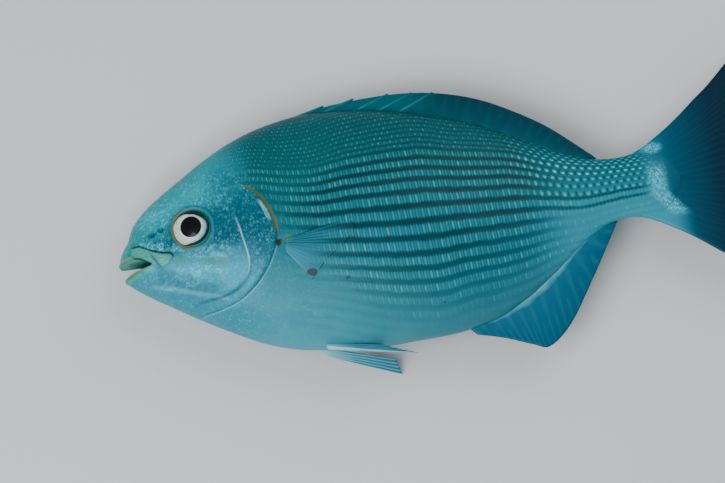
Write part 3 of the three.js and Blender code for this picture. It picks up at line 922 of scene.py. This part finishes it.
@dataclass
class BodySkin:
    """Skin of head, trunk and tail base in one closed mesh that carries its own pattern numbers."""

    stations: int = 430
    left_columns: int = 146
    right_columns: int = 84
    half_samples: int = 180

    # Height of the second stripe on the flank and the distance from it to the next ones, along the body.
    stripe_line: Rows = (
        (-143, 8.5), (-70, 7.4), (-50, 2.4), (-35, -0.7), (-19, -2.0), (-4, -3.6), (7, -4.4), (23, -5.2),
        (39, -5.5), (55, -5.8), (71, -6.0), (87, -6.9), (103, -8.5), (125, -6.4), (142, -5.6), (158, -5.0),
    )
    spacing: Rows = (
        (-143, 6.6), (-60, 6.6), (-35, 6.9), (-19, 7.6), (-4, 8.1), (7, 8.35), (23, 8.45),
        (39, 7.8), (55, 7.4), (71, 6.8), (87, 5.6), (103, 4.9), (125, 3.9), (158, 3.4),
    )
    # Stripes counted from that one, over the distance in spacings: they close up towards back and belly.
    rows_over: Rows = (
        (0, 0), (1, 1), (1.93, 2), (2.75, 3), (3.5, 4), (4.22, 5), (4.95, 6), (5.73, 7), (9.6, 12),
    )
    rows_under: Rows = ((0, 0), (1.03, 1), (2.02, 2), (2.95, 3), (3.8, 4), (4.65, 5), (9, 10))
    scale_pitch: Rows = (
        (-143, 1.4), (-100, 1.5), (-70, 2.0), (-45, 2.7), (-20, 3.0),
        (15, 3.15), (55, 3.0), (75, 3.3), (98, 4.1), (158, 3.7),
    )
    slant: float = 0.08

    # Low relief in millimetres, and the places of the nostrils with their radii.
    cleft_depth: float = 0.25
    lip_height: float = 0.8
    lid_height: float = 0.5
    socket_depth: float = 4.0
    nostrils: Rows = ((-123.1, 11.2, 1.1), (-118.2, 13.1, 1.4))
    nostril_depth: float = 1.2
    stripe_height: float = 0.1
    # The gape sinks back to the throat, by this share of the way.
    throat_x: float = -121
    sink: float = 0.93

    def __post_init__(self) -> None:
        """Places the grid of the skin."""
        self.x = self._station_places()
        self.turn, self.arc = self._columns()

    def _station_places(self) -> np.ndarray:
        """Stations spaced by arc length of the profile, closer on the head.

        Returns:
            Their places along the body.
        """
        share = np.linspace(0, 1, 6000)
        x = SNOUT_X + (TAIL_BASE_X - SNOUT_X) * (0.3 * share + 0.7 * (1 - np.cos(math.pi * share)) / 2)
        density = 1.0 + 1.0 * (1 - step(x, -120, -50)) + 0.5 * step(x, 120, 150)
        length = np.hypot(np.diff(x), np.diff(FORM.half_depth(x))) * density[1:]
        total = np.concatenate([[0], np.cumsum(length)])
        return np.interp(np.linspace(0, total[-1], self.stations + 1), total, x)

    def _columns(self) -> tuple[np.ndarray, np.ndarray]:
        """Turn and signed arc length of every point, columns spaced evenly over each flank's skin.

        Returns:
            The turns, and the lengths over the skin from the middle up the back.
        """
        sample = np.linspace(-math.pi / 2, math.pi / 2, 2 * self.half_samples + 1)
        curve = FORM.section(self.x[:, None], np.broadcast_to(sample, (len(self.x), len(sample))))
        length = np.linalg.norm(np.diff(curve, axis=1), axis=2)
        total = np.concatenate([np.zeros((len(self.x), 1)), np.cumsum(length, axis=1)], axis=1)
        centred = total - total[:, self.half_samples, None]
        left = np.linspace(0, 1, self.left_columns, endpoint=False)
        right = np.linspace(1, 0, self.right_columns, endpoint=False)
        turn = np.empty((len(self.x), self.left_columns + self.right_columns))
        arc = np.empty_like(turn)
        for i, row in enumerate(total):
            shares = row / max(row[-1], 1e-9)
            low = np.interp(left, shares, sample)
            high = np.interp(right, shares, sample)
            turn[i] = np.concatenate([low, math.pi - high])
            arc[i] = np.interp(np.concatenate([low, high]), sample, centred[i])
        return turn, arc

    def rows(self, x: np.ndarray, turn: np.ndarray) -> np.ndarray:
        """Numbers the rows, whole at the dark stripes, by the skin's length from the second stripe.

        Args:
            x: stations.
            turn: turns from the left flank to the back, between minus and plus a quarter.
        Returns:
            The row number of every place.
        """
        up = (cubic(self.stripe_line)(x) - FORM.middle(x)) / np.maximum(FORM.half_depth(x), 0.01)
        line_turn = np.arcsin(np.clip(up, -1, 1))
        spacings = self.skin_length(x, line_turn, turn) / cubic(self.spacing)(x)
        over, under = cubic(self.rows_over)(spacings), cubic(self.rows_under)(spacings)
        return 2 + np.where(turn > line_turn, -over, under)

    @staticmethod
    def skin_length(x: np.ndarray, start: np.ndarray, end: np.ndarray) -> np.ndarray:
        """Measures over the skin.

        Args:
            x: stations.
            start, end: turns at each station.
        Returns:
            Length between them.
        """
        shares = np.linspace(0, 1, 17)
        walk = np.array([FORM.section(x, start + (end - start) * share) for share in shares])
        return np.linalg.norm(np.diff(walk, axis=0), axis=-1).sum(axis=0)

    def scales_to(self, x: np.ndarray, arc: np.ndarray) -> np.ndarray:
        """Counts the scales from the snout.

        Args:
            x: stations.
            arc: length over the skin from the middle, up the back; the scales lean with it.
        Returns:
            Scale number along the row.
        """
        pitch = cubic(self.scale_pitch)
        fine = np.linspace(SNOUT_X, TAIL_BASE_X, 1200)
        count = np.concatenate([[0], np.cumsum(np.diff(fine) / pitch(fine[1:]))])
        return np.interp(x, fine, count) + self.slant * arc / pitch(x)

    def numbers_at(self, x: np.ndarray, y: np.ndarray) -> dict[str, np.ndarray]:
        """Pattern numbers of the left flank.

        Args:
            x, y: places of the side view.
        Returns:
            The numbers under each place.
        """
        height = (y - FORM.middle(x)) / FORM.half_depth(x)
        turn = np.arcsin(np.clip(height, -1, 1))
        arc = np.sign(turn) * self.skin_length(x, 0 * turn, turn)
        return {"row": self.rows(x, turn), "along": self.scales_to(x, arc), "height": height}

    def _numbers(self, points: np.ndarray) -> dict[str, np.ndarray]:
        """Pattern numbers of the grid: rows and scales, and distances inside plates and gape.

        Args:
            points: the grid.
        Returns:
            The numbers under the names that the mesh carries them by.
        """
        x, y, stations = points[..., 0], points[..., 1], self.x[:, None]
        turn = np.where(np.cos(self.turn) < 0, math.pi - self.turn, self.turn)
        return {
            "row": self.rows(stations + 0 * turn, turn), "along": self.scales_to(stations, self.arc),
            "gill": GILL_COVER.outline.inside(x, y), "cheek": CHEEK.outline.inside(x, y),
            "jaw": UPPER_JAW.outline.inside(x, y), "gape": GAPE.inside(x, y),
            "height": (y - FORM.middle(x)) / FORM.half_depth(x),
        }

    def _relief(self, points: np.ndarray, numbers: dict[str, np.ndarray]) -> np.ndarray:
        """Heights over the plain skin.

        Args:
            points: the grid.
            numbers: its pattern numbers.
        Returns:
            Millimetres outwards: plates, lips, eyelids, nostrils and the rows of scales.
        """
        x, y = points[..., 0], points[..., 1]
        plates = ((GILL_COVER, "gill"), (CHEEK, "cheek"), (UPPER_JAW, "jaw"))
        left = points[..., 2] > 0
        relief = np.max([plate.relief(x, y, left, numbers[name]) for plate, name in plates], axis=0)
        cleft = bump(numbers["gill"], -1.0, 0.8) * (1 - step(y, 24, 34)) * step(x, -112, -100)
        relief += self.lip_height * bump(numbers["gape"], -1.5, 1.3) * (1 - step(x, -130, -124))
        from_eye = np.hypot(x - EYE.x, y - EYE.y)
        relief += self.lid_height * bump(from_eye, EYE.radius + 0.6, 1.1) - self.cleft_depth * cleft
        relief -= self.socket_depth * (1 - step(from_eye, EYE.radius - 1.6, EYE.radius - 0.2))
        for nx, ny, radius in self.nostrils:
            hole = 1 - step(np.hypot(x - nx, y - ny), radius * 0.3, radius * 1.2)
            relief -= self.nostril_depth * hole
        scaled = step(x, -60, -40) * (1 - step(x, 138, 146))
        crests = -np.cos(math.tau * numbers["row"] * np.where(numbers["row"] < CLOSE_ROWS, 2, 1))
        return relief + self.stripe_height * scaled * crests

    def _outward(self, points: np.ndarray) -> np.ndarray:
        """Finds which way is out of the body.

        Args:
            points: the grid.
        Returns:
            Its unit normals.
        """
        along = np.gradient(points, axis=0)
        around = np.roll(points, -1, axis=1) - np.roll(points, 1, axis=1)
        normal = np.cross(around, along)
        size = np.linalg.norm(normal, axis=2, keepdims=True)
        normal = normal / np.maximum(size, 1e-9)
        middle = points.mean(axis=1, keepdims=True)
        facing = np.sum(normal * (points - middle), axis=2, keepdims=True)
        return np.where(facing < 0, -normal, normal)

    def build(self, finish: SkinFinish) -> bpy.types.Object:
        """Shapes the skin and dresses it.

        Args:
            finish: what it is dressed in.
        Returns:
            The piece.
        """
        points = FORM.section(self.x[:, None], self.turn)
        numbers = self._numbers(points)
        points = points + self._outward(points) * self._relief(points, numbers)[..., None]
        sink = self.sink * step(numbers["gape"], 0.0, 1.1)
        points[..., 0] += (self.throat_x - points[..., 0]) * sink * (points[..., 0] < self.throat_x)
        points[..., 2] = np.maximum(points[..., 2] * (1 - sink * 0.92), RESTING_Z)

        # Each corner of a ball goes to the grid's place at the same ring and column.
        around = self.left_columns + self.right_columns
        bm = bmesh.new()
        bmesh.ops.create_uvsphere(bm, u_segments=around, v_segments=self.stations, radius=1)
        ball = np.array([v.co for v in bm.verts])
        ring = np.rint(np.arccos(np.clip(-ball[:, 2], -1, 1)) / math.pi * self.stations).astype(int)
        angle = np.mod(np.arctan2(ball[:, 1], ball[:, 0]), math.tau)
        column = np.rint(angle / math.tau * around).astype(int) % around
        placed = points[ring, column]
        for end in (0, self.stations):
            placed[ring == end] = points[end].mean(axis=0)
        for vertex, co in zip(bm.verts, to_frame(placed)):
            vertex.co = co
        thing = mesh_object("body_skin", bm, finish.material())
        for name, values in numbers.items():
            carry(thing.data, name, values[ring, column])
        declare(thing, "fish")
        return thing


@dataclass(frozen=True)
class FinFinish:
    """Thin fin skin on rays: colour runs from base to free edge, rays stand a little paler."""

    name: str
    # At the base, at base_share of the way out and at the free edge; None goes on from the body.
    tones: tuple[str, str, str] | None
    ray: str
    rays: int
    ray_share: float = 0.35
    base_share: float = 0.45
    scaly_share: float = 0.0
    forked: bool = True
    # Where the leading edge's own colour is full and where it ends, across the fin.
    leading: tuple[float, float, str] = (0.0, 0.01, "#000000")
    ray_relief: float = 0.35

    def _ground(self, b: Bench, where: Signal, across: Signal, out: Signal) -> Signal:
        """Colour of the fin skin between the rays.

        Args:
            b: the material's bench.
            where: place in the fish's frame.
            across, out: the fin's own numbers.
        Returns:
            The colour.
        """
        if self.tones is None:
            return tail_tone(b, where)
        base, middle, tip = self.tones
        tone = (out + b.sway(where, 0.12, 3.0, 0.12)).clamped()
        ground = b.toned(tone, ((0.0, base), (self.base_share, middle), (1.0, tip)))
        full, none, code = self.leading
        return b.over(ground, code, b.step(across, none, full) * b.step(out, 0.0, 0.5))

    def material(self) -> bpy.types.Material:
        """Builds the finish from the fin's own lengthwise and crosswise numbers.

        Returns:
            The material.
        """
        b = Bench(self.name)
        where, across, out = b.place(), b.carried("across"), b.carried("out")
        line = across.wave(self.rays)
        if self.forked:
            line = b.over(line, across.wave(2 * self.rays), b.step(out, 0.35, 0.7))
        ridge = b.step(line, 0.0, 1.0)
        patchy = b.patches(where, 0.15) * 0.8 + 0.5
        colour = b.over(self._ground(b, where, across, out), self.ray, ridge * patchy * self.ray_share)
        if self.scaly_share:
            grain = b.step(b.add("TexVoronoi", {"Vector": where, "Scale": 0.7}), 0.6, 0.15)
            scales = grain * b.step(out, self.scaly_share, self.scaly_share * 0.4)
            colour = b.over(colour, self.ray, scales * 0.7)
        if self.tones is None:
            # Painted glints at the tail base, as on the body.
            colour = b.over(colour, SkinFinish.silver_sheen, tail_base_glints(b, where) * 0.9)
        return b.finish(
            base_color=colour, roughness=0.42, specular_ior_level=0.18, coat_weight=0.05,
            relief=(ridge, self.ray_relief, 0.2), **WET,
        )


@dataclass(frozen=True)
class ClearFinFinish:
    """Thin clear fin laid on the flank: fine rays under its upper edge, the scale rows show behind them."""

    skin: SkinFinish
    upper: str = "#04586a"
    lower: str = "#1f7f9a"
    ray: str = "#2590a0"
    fold: str = "#003c48"
    rays: int = 18

    def material(self) -> bpy.types.Material:
        """Lays a film over the flank's own colours, thickest at the root.

        Returns:
            The material.
        """
        b = Bench("clear_pectoral_fin_skin")
        where, across, out = b.place(), b.carried("across"), b.carried("out")
        colour, keys = self.skin.flank(b, where, b.carried("height") * 0.5 + 0.5)
        upper = b.step(across, 0.3, 0.75)
        film = b.over(self.lower, self.upper, upper)
        colour = b.over(colour, film, b.step(out, 0.95, 0.3) * 0.85 + 0.05)
        lines = b.step(across.wave(self.rays), 0.0, 1.0) * upper * b.step(out, 0.95, 0.45)
        colour = b.over(colour, self.ray, lines * b.step(out, 0.0, 0.2) * 0.35)
        edge = b.step(across, 0.93, 0.985) * b.step(out, 1.0, 0.6)
        colour = self.skin.dirt(b, where, b.over(colour, self.fold, edge * 0.75))
        return b.finish(
            base_color=colour, roughness=0.4, specular_ior_level=0.25, coat_weight=0.08,
            relief=(keys * b.step(out, 0.3, 0.95), 0.35, 0.3), **WET,
        )


# From shares across the fin, out from its root and through its thickness to points.
FinPlace = Callable[[np.ndarray, np.ndarray, np.ndarray], np.ndarray]


@dataclass
class Fin:
    """Closed blade round fin rays, thin at its free edge; its surface follows the rays."""

    name: str
    place: FinPlace
    rays: int
    finish: FinFinish | ClearFinFinish
    columns_per_ray: int = 8
    rows: int = 60
    relief: float = 0.03
    mirrored: bool = False
    side_bluntness: int = 24
    tip_bluntness: int = 40
    root_bluntness: int = 60

    def build(self) -> bpy.types.Object:
        """Wraps a grid round the blade, out along one face and back along the other.

        Returns:
            The piece.
        """
        count = self.rays * self.columns_per_ray
        bm = bmesh.new()
        bmesh.ops.create_grid(bm, x_segments=2 * count, y_segments=self.rows, size=1)
        flat = np.array([v.co for v in bm.verts])
        lap = (flat[:, 0] + 1) / 2
        v = (flat[:, 1] + 1) / 2
        side = np.where(lap < 0.5, 1.0, -1.0)
        u = np.where(lap < 0.5, 2 * lap, 2 - 2 * lap)
        rim = blunt(np.abs(2 * u - 1), self.side_bluntness) * blunt(v, self.tip_bluntness)
        rim *= blunt(1 - v, self.root_bluntness)
        points = self.place(u, v, side * rim * self._ridge(u, v))
        if self.mirrored:
            points[:, 2] *= -1
        points[:, 2] = np.maximum(points[:, 2], RESTING_Z)
        for vertex, co in zip(bm.verts, to_frame(points)):
            vertex.co = co
        numbers = {"across": u, "out": v}
        if isinstance(self.finish, ClearFinFinish):
            numbers |= SKIN.numbers_at(points[:, 0], points[:, 1])
        layers = [bm.verts.layers.float.new(name) for name in numbers]
        for vertex, values in zip(bm.verts, zip(*numbers.values())):
            for layer, value in zip(layers, values):
                vertex[layer] = value
        bmesh.ops.remove_doubles(bm, verts=bm.verts, dist=2e-6)
        thing = mesh_object(self.name, bm, self.finish.material())
        declare(thing, "fish")
        return thing

    def _ridge(self, u: np.ndarray, v: np.ndarray) -> np.ndarray:
        """Share of the full thickness: rays stand proud and fork once on their way out.

        Args:
            u, v: shares across the fin and out from its root.
        Returns:
            The share.
        """
        whole = np.cos(math.tau * self.rays * u)
        forked = np.cos(math.tau * 2 * self.rays * u)
        fork = step(v, 0.35, 0.75)
        return 1 - self.relief + self.relief * (whole * (1 - fork) + forked * fork)


SKIN = BodySkin()
BASE_THICKNESS = 3.4
EDGE_THICKNESS = 1.1


@dataclass(frozen=True)
class MedianFinForm:
    """Fin in the plane of symmetry between a base line and a free edge."""

    base: Rows
    edge: Rows

    def __call__(self, u: np.ndarray, v: np.ndarray, side: np.ndarray) -> np.ndarray:
        """Places points of the blade.

        Args:
            u, v: shares across the fin and out from its root.
            side: -1 to 1, in half thicknesses.
        Returns:
            Points in the fish's frame.
        """
        a, b = spline(self.base, u), spline(self.edge, u)
        thickness = BASE_THICKNESS + (EDGE_THICKNESS - BASE_THICKNESS) * np.sqrt(v)
        flat = a + (b - a) * v[:, None]
        return np.column_stack([flat, side * thickness / 2])


@dataclass(frozen=True)
class CaudalForm:
    """Forked tail fin whose rays fan out from inside the tail base."""

    edge: Rows = (
        (126, 14.6), (134, 17.2), (141, 20.4), (148, 24.4), (155.5, 29.2), (163, 34.6),
        (171, 41.0), (178, 46.2), (185, 52.2), (192, 58.6), (203, 67.2), (211, 71.6), (216, 72),
    )
    fork_x: float = 187
    base_thickness: float = 4.6

    def __call__(self, u: np.ndarray, v: np.ndarray, side: np.ndarray) -> np.ndarray:
        """Places points of the blade.

        Args:
            u, v: shares across the fin and out from its root.
            side: -1 to 1, in half thicknesses.
        Returns:
            Points in the fish's frame.
        """
        across = 2 * u - 1
        base_x, tip_x = self.edge[0][0], self.edge[-1][0]
        hind_x = self.fork_x + (tip_x - self.fork_x) * np.abs(across) ** 1.35
        edge = spline(self.edge, v)
        reach = (edge[:, 0] - base_x) / (tip_x - base_x)
        thickness = self.base_thickness + (EDGE_THICKNESS - self.base_thickness) * v**0.7
        x = base_x + (hind_x - base_x) * reach
        return np.column_stack([x, across * edge[:, 1], side * thickness / 2])


@dataclass(frozen=True)
class PectoralForm:
    """Short rounded fin behind the gill cover, laid back along the flank."""

    lift: float
    root: tuple[float, float] = (-55, -6.5)
    root_length: float = 6.3
    reach: Rows = ((0, 20.5), (0.3, 22), (0.5, 25), (0.7, 32), (0.86, 38), (1, 35))
    low_angle: float = math.radians(-56)
    top_angle: float = math.radians(11)
    thickness: float = 1.3

    def __call__(self, u: np.ndarray, v: np.ndarray, side: np.ndarray) -> np.ndarray:
        """Places points of the blade.

        Args:
            u, v: shares across the fin and out from its root.
            side: -1 to 1, in half thicknesses.
        Returns:
            Points in the fish's frame.
        """
        angle = self.low_angle + (self.top_angle - self.low_angle) * u
        reach = cubic(self.reach)(u)
        x = self.root[0] + v * reach * np.cos(angle)
        y = self.root[1] + (u - 0.5) * self.root_length + v * reach * np.sin(angle)
        thickness = self.thickness * (1.6 - 1.4 * v)
        z = FORM.skin_height(x, y) - 0.6 + self.lift * v * v + side * thickness / 2
        return np.column_stack([x, y, z])


@dataclass(frozen=True)
class PelvicForm:
    """Narrow fan that trails under the belly, longest at its outer ray, as on the left."""

    root: tuple[float, float, float]
    trail: tuple[float, float, float]
    width: float
    droop: float
    inner_length: float
    base_width: float = 4.6

    def __call__(self, u: np.ndarray, v: np.ndarray, side: np.ndarray) -> np.ndarray:
        """Places points of the blade.

        Args:
            u, v: shares across the fin and out from its root.
            side: -1 to 1, in half thicknesses.
        Returns:
            Points in the fish's frame.
        """
        turn = math.radians(self.droop)
        out = np.array([0, -math.sin(turn), math.cos(turn)])
        normal = np.array([0, math.cos(turn), math.sin(turn)])
        width = self.base_width + (self.width - self.base_width) * v**0.8
        length = v * (self.inner_length + (1 - self.inner_length) * u**1.5)
        thickness = 2.6 - 1.7 * v
        point = np.array(self.root) + length[:, None] * np.array(self.trail)
        point = point + out * ((u - 0.4) * width)[:, None]
        return point + normal * (side * thickness / 2)[:, None]


@dataclass(frozen=True)
class SpineRow:
    """Dorsal spines laid back in the fin, their tips a little over its edge."""

    tips: Rows = ((-23.6, 68.8), (-7.3, 70.1), (11.4, 69.8), (23.9, 68.6), (35, 66.9))
    length: float = 23
    radius: float = 1.5
    tip_share: float = 0.33
    foot_depth: float = 2.2
    offset: float = 0.35

    def build(self, finish: FinFinish) -> bpy.types.Object:
        """Makes each spine a tapered round rod and joins them in one mesh.

        Args:
            finish: what they are dressed in.
        Returns:
            The piece.
        """
        bm = bmesh.new()
        for tip_x, tip_y in self.tips:
            x = tip_x - self.length
            foot = (x, float(FORM.back(np.array(x))) - self.foot_depth, self.offset)
            start = Vector(to_frame(np.array(foot)))
            end = Vector(to_frame(np.array((tip_x, tip_y, self.offset))))
            turn = (end - start).to_track_quat("Z", "Y").to_matrix().to_4x4()
            place = Matrix.Translation((start + end) / 2) @ turn
            bmesh.ops.create_cone(
                bm, cap_ends=True, cap_tris=True, segments=20, radius1=self.radius * MM,
                radius2=self.radius * self.tip_share * MM, depth=(end - start).length, matrix=place,
            )
        thing = mesh_object("dorsal_spines", bm, finish.material())
        for name in ("across", "out"):
            carry(thing.data, name, np.full(len(thing.data.vertices), 0.4))
        declare(thing, "fish")
        return thing


@dataclass(frozen=True)
class EyeFinish:
    """Clear wet eye: black pupil, cream iris widest in front, dark crescent and ochre rim."""

    pupil: str = "#010208"
    iris: str = "#c2d8cf"
    cool: str = "#5fb4b4"
    bright: str = "#e2ecdc"
    blush: str = "#a07c50"
    shade: str = "#06222c"
    rim: str = "#6c6a22"
    teal: str = "#2f7c74"

    def material(self) -> bpy.types.Material:
        """Builds rings from the eye's own coordinates that the mesh carries.

        Returns:
            The material.
        """
        b = Bench("wet_eye")
        where, ahead, over = b.place(), b.carried("ahead"), b.carried("over")
        away = (ahead**2.0 + over**2.0).call("SQRT")
        jitter = b.sway(where, 0.6, 3.0, 0.8)
        reach = away | 0.001
        front, up = ahead / reach, over / reach
        iris_edge = b.step(front, -0.1, 0.9) * 2.3 + 8.1 - b.step(up, 0.1, 0.85) * 1.3
        iris = b.over(self.iris, self.cool, b.step(front, 0.4, -0.6))
        iris = b.over(iris, self.bright, b.step(away + jitter * 2.0, 7.6, 6.0) * 0.55)
        iris = b.over(iris, self.blush, b.step(b.patches(where, 0.5, 3.0), 0.56, 0.8))
        colour = b.over(iris, self.shade, b.step(away - iris_edge + jitter, -0.25, 0.25))
        outer = b.over(self.teal, self.rim, b.step(front, -0.3, 0.4))
        rim_from = b.step(front, 0.0, 0.8) * 0.7 + 9.3
        colour = b.over(colour, outer, b.step(away - rim_from, 0.0, 0.5))
        colour = b.over(colour, self.pupil, b.step(away, 5.9, 5.55))
        return b.finish(
            base_color=colour, roughness=0.35, ior=1.36, specular_ior_level=0.2,
            coat_weight=0.25, coat_roughness=0.03,
        )


@dataclass(frozen=True)
class Eye:
    """One eyeball in its socket."""

    name: str
    mirrored: bool

    def build(self, material: bpy.types.Material) -> bpy.types.Object:
        """Flattens a ball and turns it to look out of the head.

        Args:
            material: what it is dressed in.
        Returns:
            The piece.
        """
        bm = bmesh.new()
        bmesh.ops.create_uvsphere(bm, u_segments=96, v_segments=64, radius=1)
        ball = np.array([v.co for v in bm.verts])
        size = np.array([EYE.radius, EYE.radius, EYE.half_depth])
        placed = EYE.turned(ball * size)
        if self.mirrored:
            placed[:, 2] *= -1
        for vertex, co in zip(bm.verts, to_frame(placed)):
            vertex.co = co
        thing = mesh_object(self.name + "_ball", bm, material)
        carry(thing.data, "ahead", -ball[:, 0] * EYE.radius)
        carry(thing.data, "over", ball[:, 1] * EYE.radius)
        declare(thing, self.name)
        return thing


@dataclass(frozen=True)
class Studio:
    """Pale floor, soft light and a camera at the photograph's viewing angle."""

    floor: str = "#d9dbdc"
    floor_patches: str = "#c9cccd"
    lens_mm: float = 200
    sensor_mm: float = 36
    frame_width_mm: float = 384
    aim: tuple[float, float, float] = (-14.2, -6.7, 0.0)
    tip: float = math.radians(10)
    roll: float = math.radians(9)

    def lay_floor(self) -> None:
        """A matt floor under the fish."""
        b = Bench("pale_floor")
        colour = b.over(self.floor, self.floor_patches, b.patches(b.place(), 0.01) * 0.15)
        bm = bmesh.new()
        bmesh.ops.create_grid(bm, x_segments=1, y_segments=1, size=4)
        mesh_object("floor", bm, b.finish(base_color=colour, roughness=0.9))

    def light(self) -> None:
        """Large soft lamps and an even sky."""
        world = bpy.data.worlds.new("soft_sky")
        world.use_nodes = True
        world.node_tree.nodes["Background"].inputs["Color"].default_value = linear("#e8eef2")
        world.node_tree.nodes["Background"].inputs["Strength"].default_value = 0.55
        bpy.context.scene.world = world
        lamps = (("key", (-0.45, -0.35, 0.95), 0.7, 9.0), ("fill", (0.6, 0.5, 0.8), 0.9, 4.0))
        for name, place, size, power in lamps:
            lamp = bpy.data.lights.new(name, "AREA")
            lamp.size, lamp.energy = size, power
            thing = bpy.data.objects.new(name, lamp)
            thing.location = place
            thing.rotation_mode = "QUATERNION"
            thing.rotation_quaternion = (Vector((0, 0, 0.02)) - Vector(place)).to_track_quat("-Z", "Y")
            bpy.context.scene.collection.objects.link(thing)

    def set_camera(self) -> None:
        """Looks at the left flank from a little below the belly, rolled as in the photograph."""
        distance = self.frame_width_mm * self.lens_mm / self.sensor_mm
        outward = Vector((0, -math.sin(self.tip), math.cos(self.tip)))
        up = Vector((0, math.cos(self.tip), math.sin(self.tip)))
        right = Vector((1, 0, 0))
        image_right = right * math.cos(self.roll) - up * math.sin(self.roll)
        image_up = right * math.sin(self.roll) + up * math.cos(self.roll)
        camera = bpy.data.cameras.new("camera")
        camera.lens, camera.sensor_width = self.lens_mm, self.sensor_mm
        camera.clip_end = 20
        thing = bpy.data.objects.new("camera", camera)
        aim = Vector(to_frame(np.array(self.aim)))
        turn = Matrix((image_right, image_up, outward)).transposed().to_4x4()
        thing.matrix_world = Matrix.Translation(aim + outward * distance * MM) @ turn
        bpy.context.scene.collection.objects.link(thing)
        bpy.context.scene.camera = thing


DORSAL = MedianFinForm(
    base=(
        (-42, 63.6), (-30, 63.6), (-10, 61.4), (12, 57.2), (33, 51.6),
        (52, 44.6), (68, 36.8), (84, 28.2), (98, 21.0), (109, 16.6),
    ),
    edge=(
        (-38, 66.0), (-22, 68.5), (-2, 69.6), (18, 69.2), (38, 66.1),
        (58, 59.6), (76, 50.0), (92, 39.2), (106, 26.8), (115.5, 17.8),
    ),
)
ANAL = MedianFinForm(
    base=((33, -60.2), (46, -58.4), (58, -53.4), (70, -46.4), (84, -36.6), (96, -27.2), (108, -19.6)),
    edge=((38, -65.6), (52, -69.6), (66, -75.2), (75, -77.6), (88, -67.2), (104, -44.0), (121, -17)),
)


SPINE_FINISH = FinFinish(
    "dorsal_spine_skin", ("#00606c", "#006e7a", "#006e7a"), "#006e7a", rays=1, ray_share=0.0,
)


def fins() -> list[Fin]:
    """All fins with their rays and finishes.

    Returns:
        Them, ready to build.
    """
    dorsal = FinFinish(
        "dorsal_fin_skin", ("#005c68", "#004555", "#003242"), "#3aa0aa", rays=15,
        ray_share=0.03, base_share=0.25, scaly_share=0.14, leading=(0.3, 0.5, "#005662"),
    )
    anal = FinFinish(
        "anal_fin_skin", ("#6fc0cc", "#04607a", "#00506a"), "#3fa3b6", rays=11,
        ray_share=0.08, base_share=0.2,
    )
    tail = FinFinish("tail_fin_skin", None, "#1f7f94", rays=17, ray_share=0.05, ray_relief=0.12)
    side = ClearFinFinish(SkinFinish())
    belly = FinFinish(
        "pelvic_fin_skin", ("#7cc8d4", "#1a86a0", "#0c708c"), "#b4ecf2", rays=4,
        ray_share=0.4, base_share=0.4, forked=False,
    )
    left_pelvic = PelvicForm((-41.5, -60, 6.5), (48, -9.5, 6), 14, 27, 0.62)
    right_pelvic = PelvicForm((-43, -60.5, 6), (39, -12.6, 12.3), 12, 30, 0.94)
    return [
        Fin("dorsal_fin", DORSAL, 15, dorsal, columns_per_ray=10, rows=40),
        Fin("anal_fin", ANAL, 11, anal, columns_per_ray=10, rows=40),
        Fin("tail_fin", CaudalForm(), 17, tail, columns_per_ray=10, rows=90),
        Fin("left_pectoral_fin", PectoralForm(0.62), 9, side, columns_per_ray=10, rows=50),
        Fin("right_pectoral_fin", PectoralForm(0.3), 9, side, columns_per_ray=10, rows=50, mirrored=True),
        Fin("left_pelvic_fin", left_pelvic, 4, belly, columns_per_ray=12, rows=60, relief=0.2),
        Fin(
            "right_pelvic_fin", right_pelvic, 4, belly, columns_per_ray=12, rows=60, relief=0.2,
            mirrored=True,
        ),
    ]


def main() -> None:
    """Builds the fish, sets the studio and reports the pieces."""
    logging.basicConfig(level=logging.INFO, format="%(message)s")
    pieces = [SKIN.build(SkinFinish())]
    pieces += [fin.build() for fin in fins()]
    pieces.append(SpineRow().build(SPINE_FINISH))
    wet_eye = EyeFinish().material()
    pieces += [Eye("eye_left", False).build(wet_eye), Eye("eye_right", True).build(wet_eye)]
    studio = Studio()
    studio.lay_floor()
    studio.light()
    studio.set_camera()
    for piece in pieces:
        LOG.info("%s: %d faces", piece.name, len(piece.data.polygons))


if __name__ == "__main__":
    main()
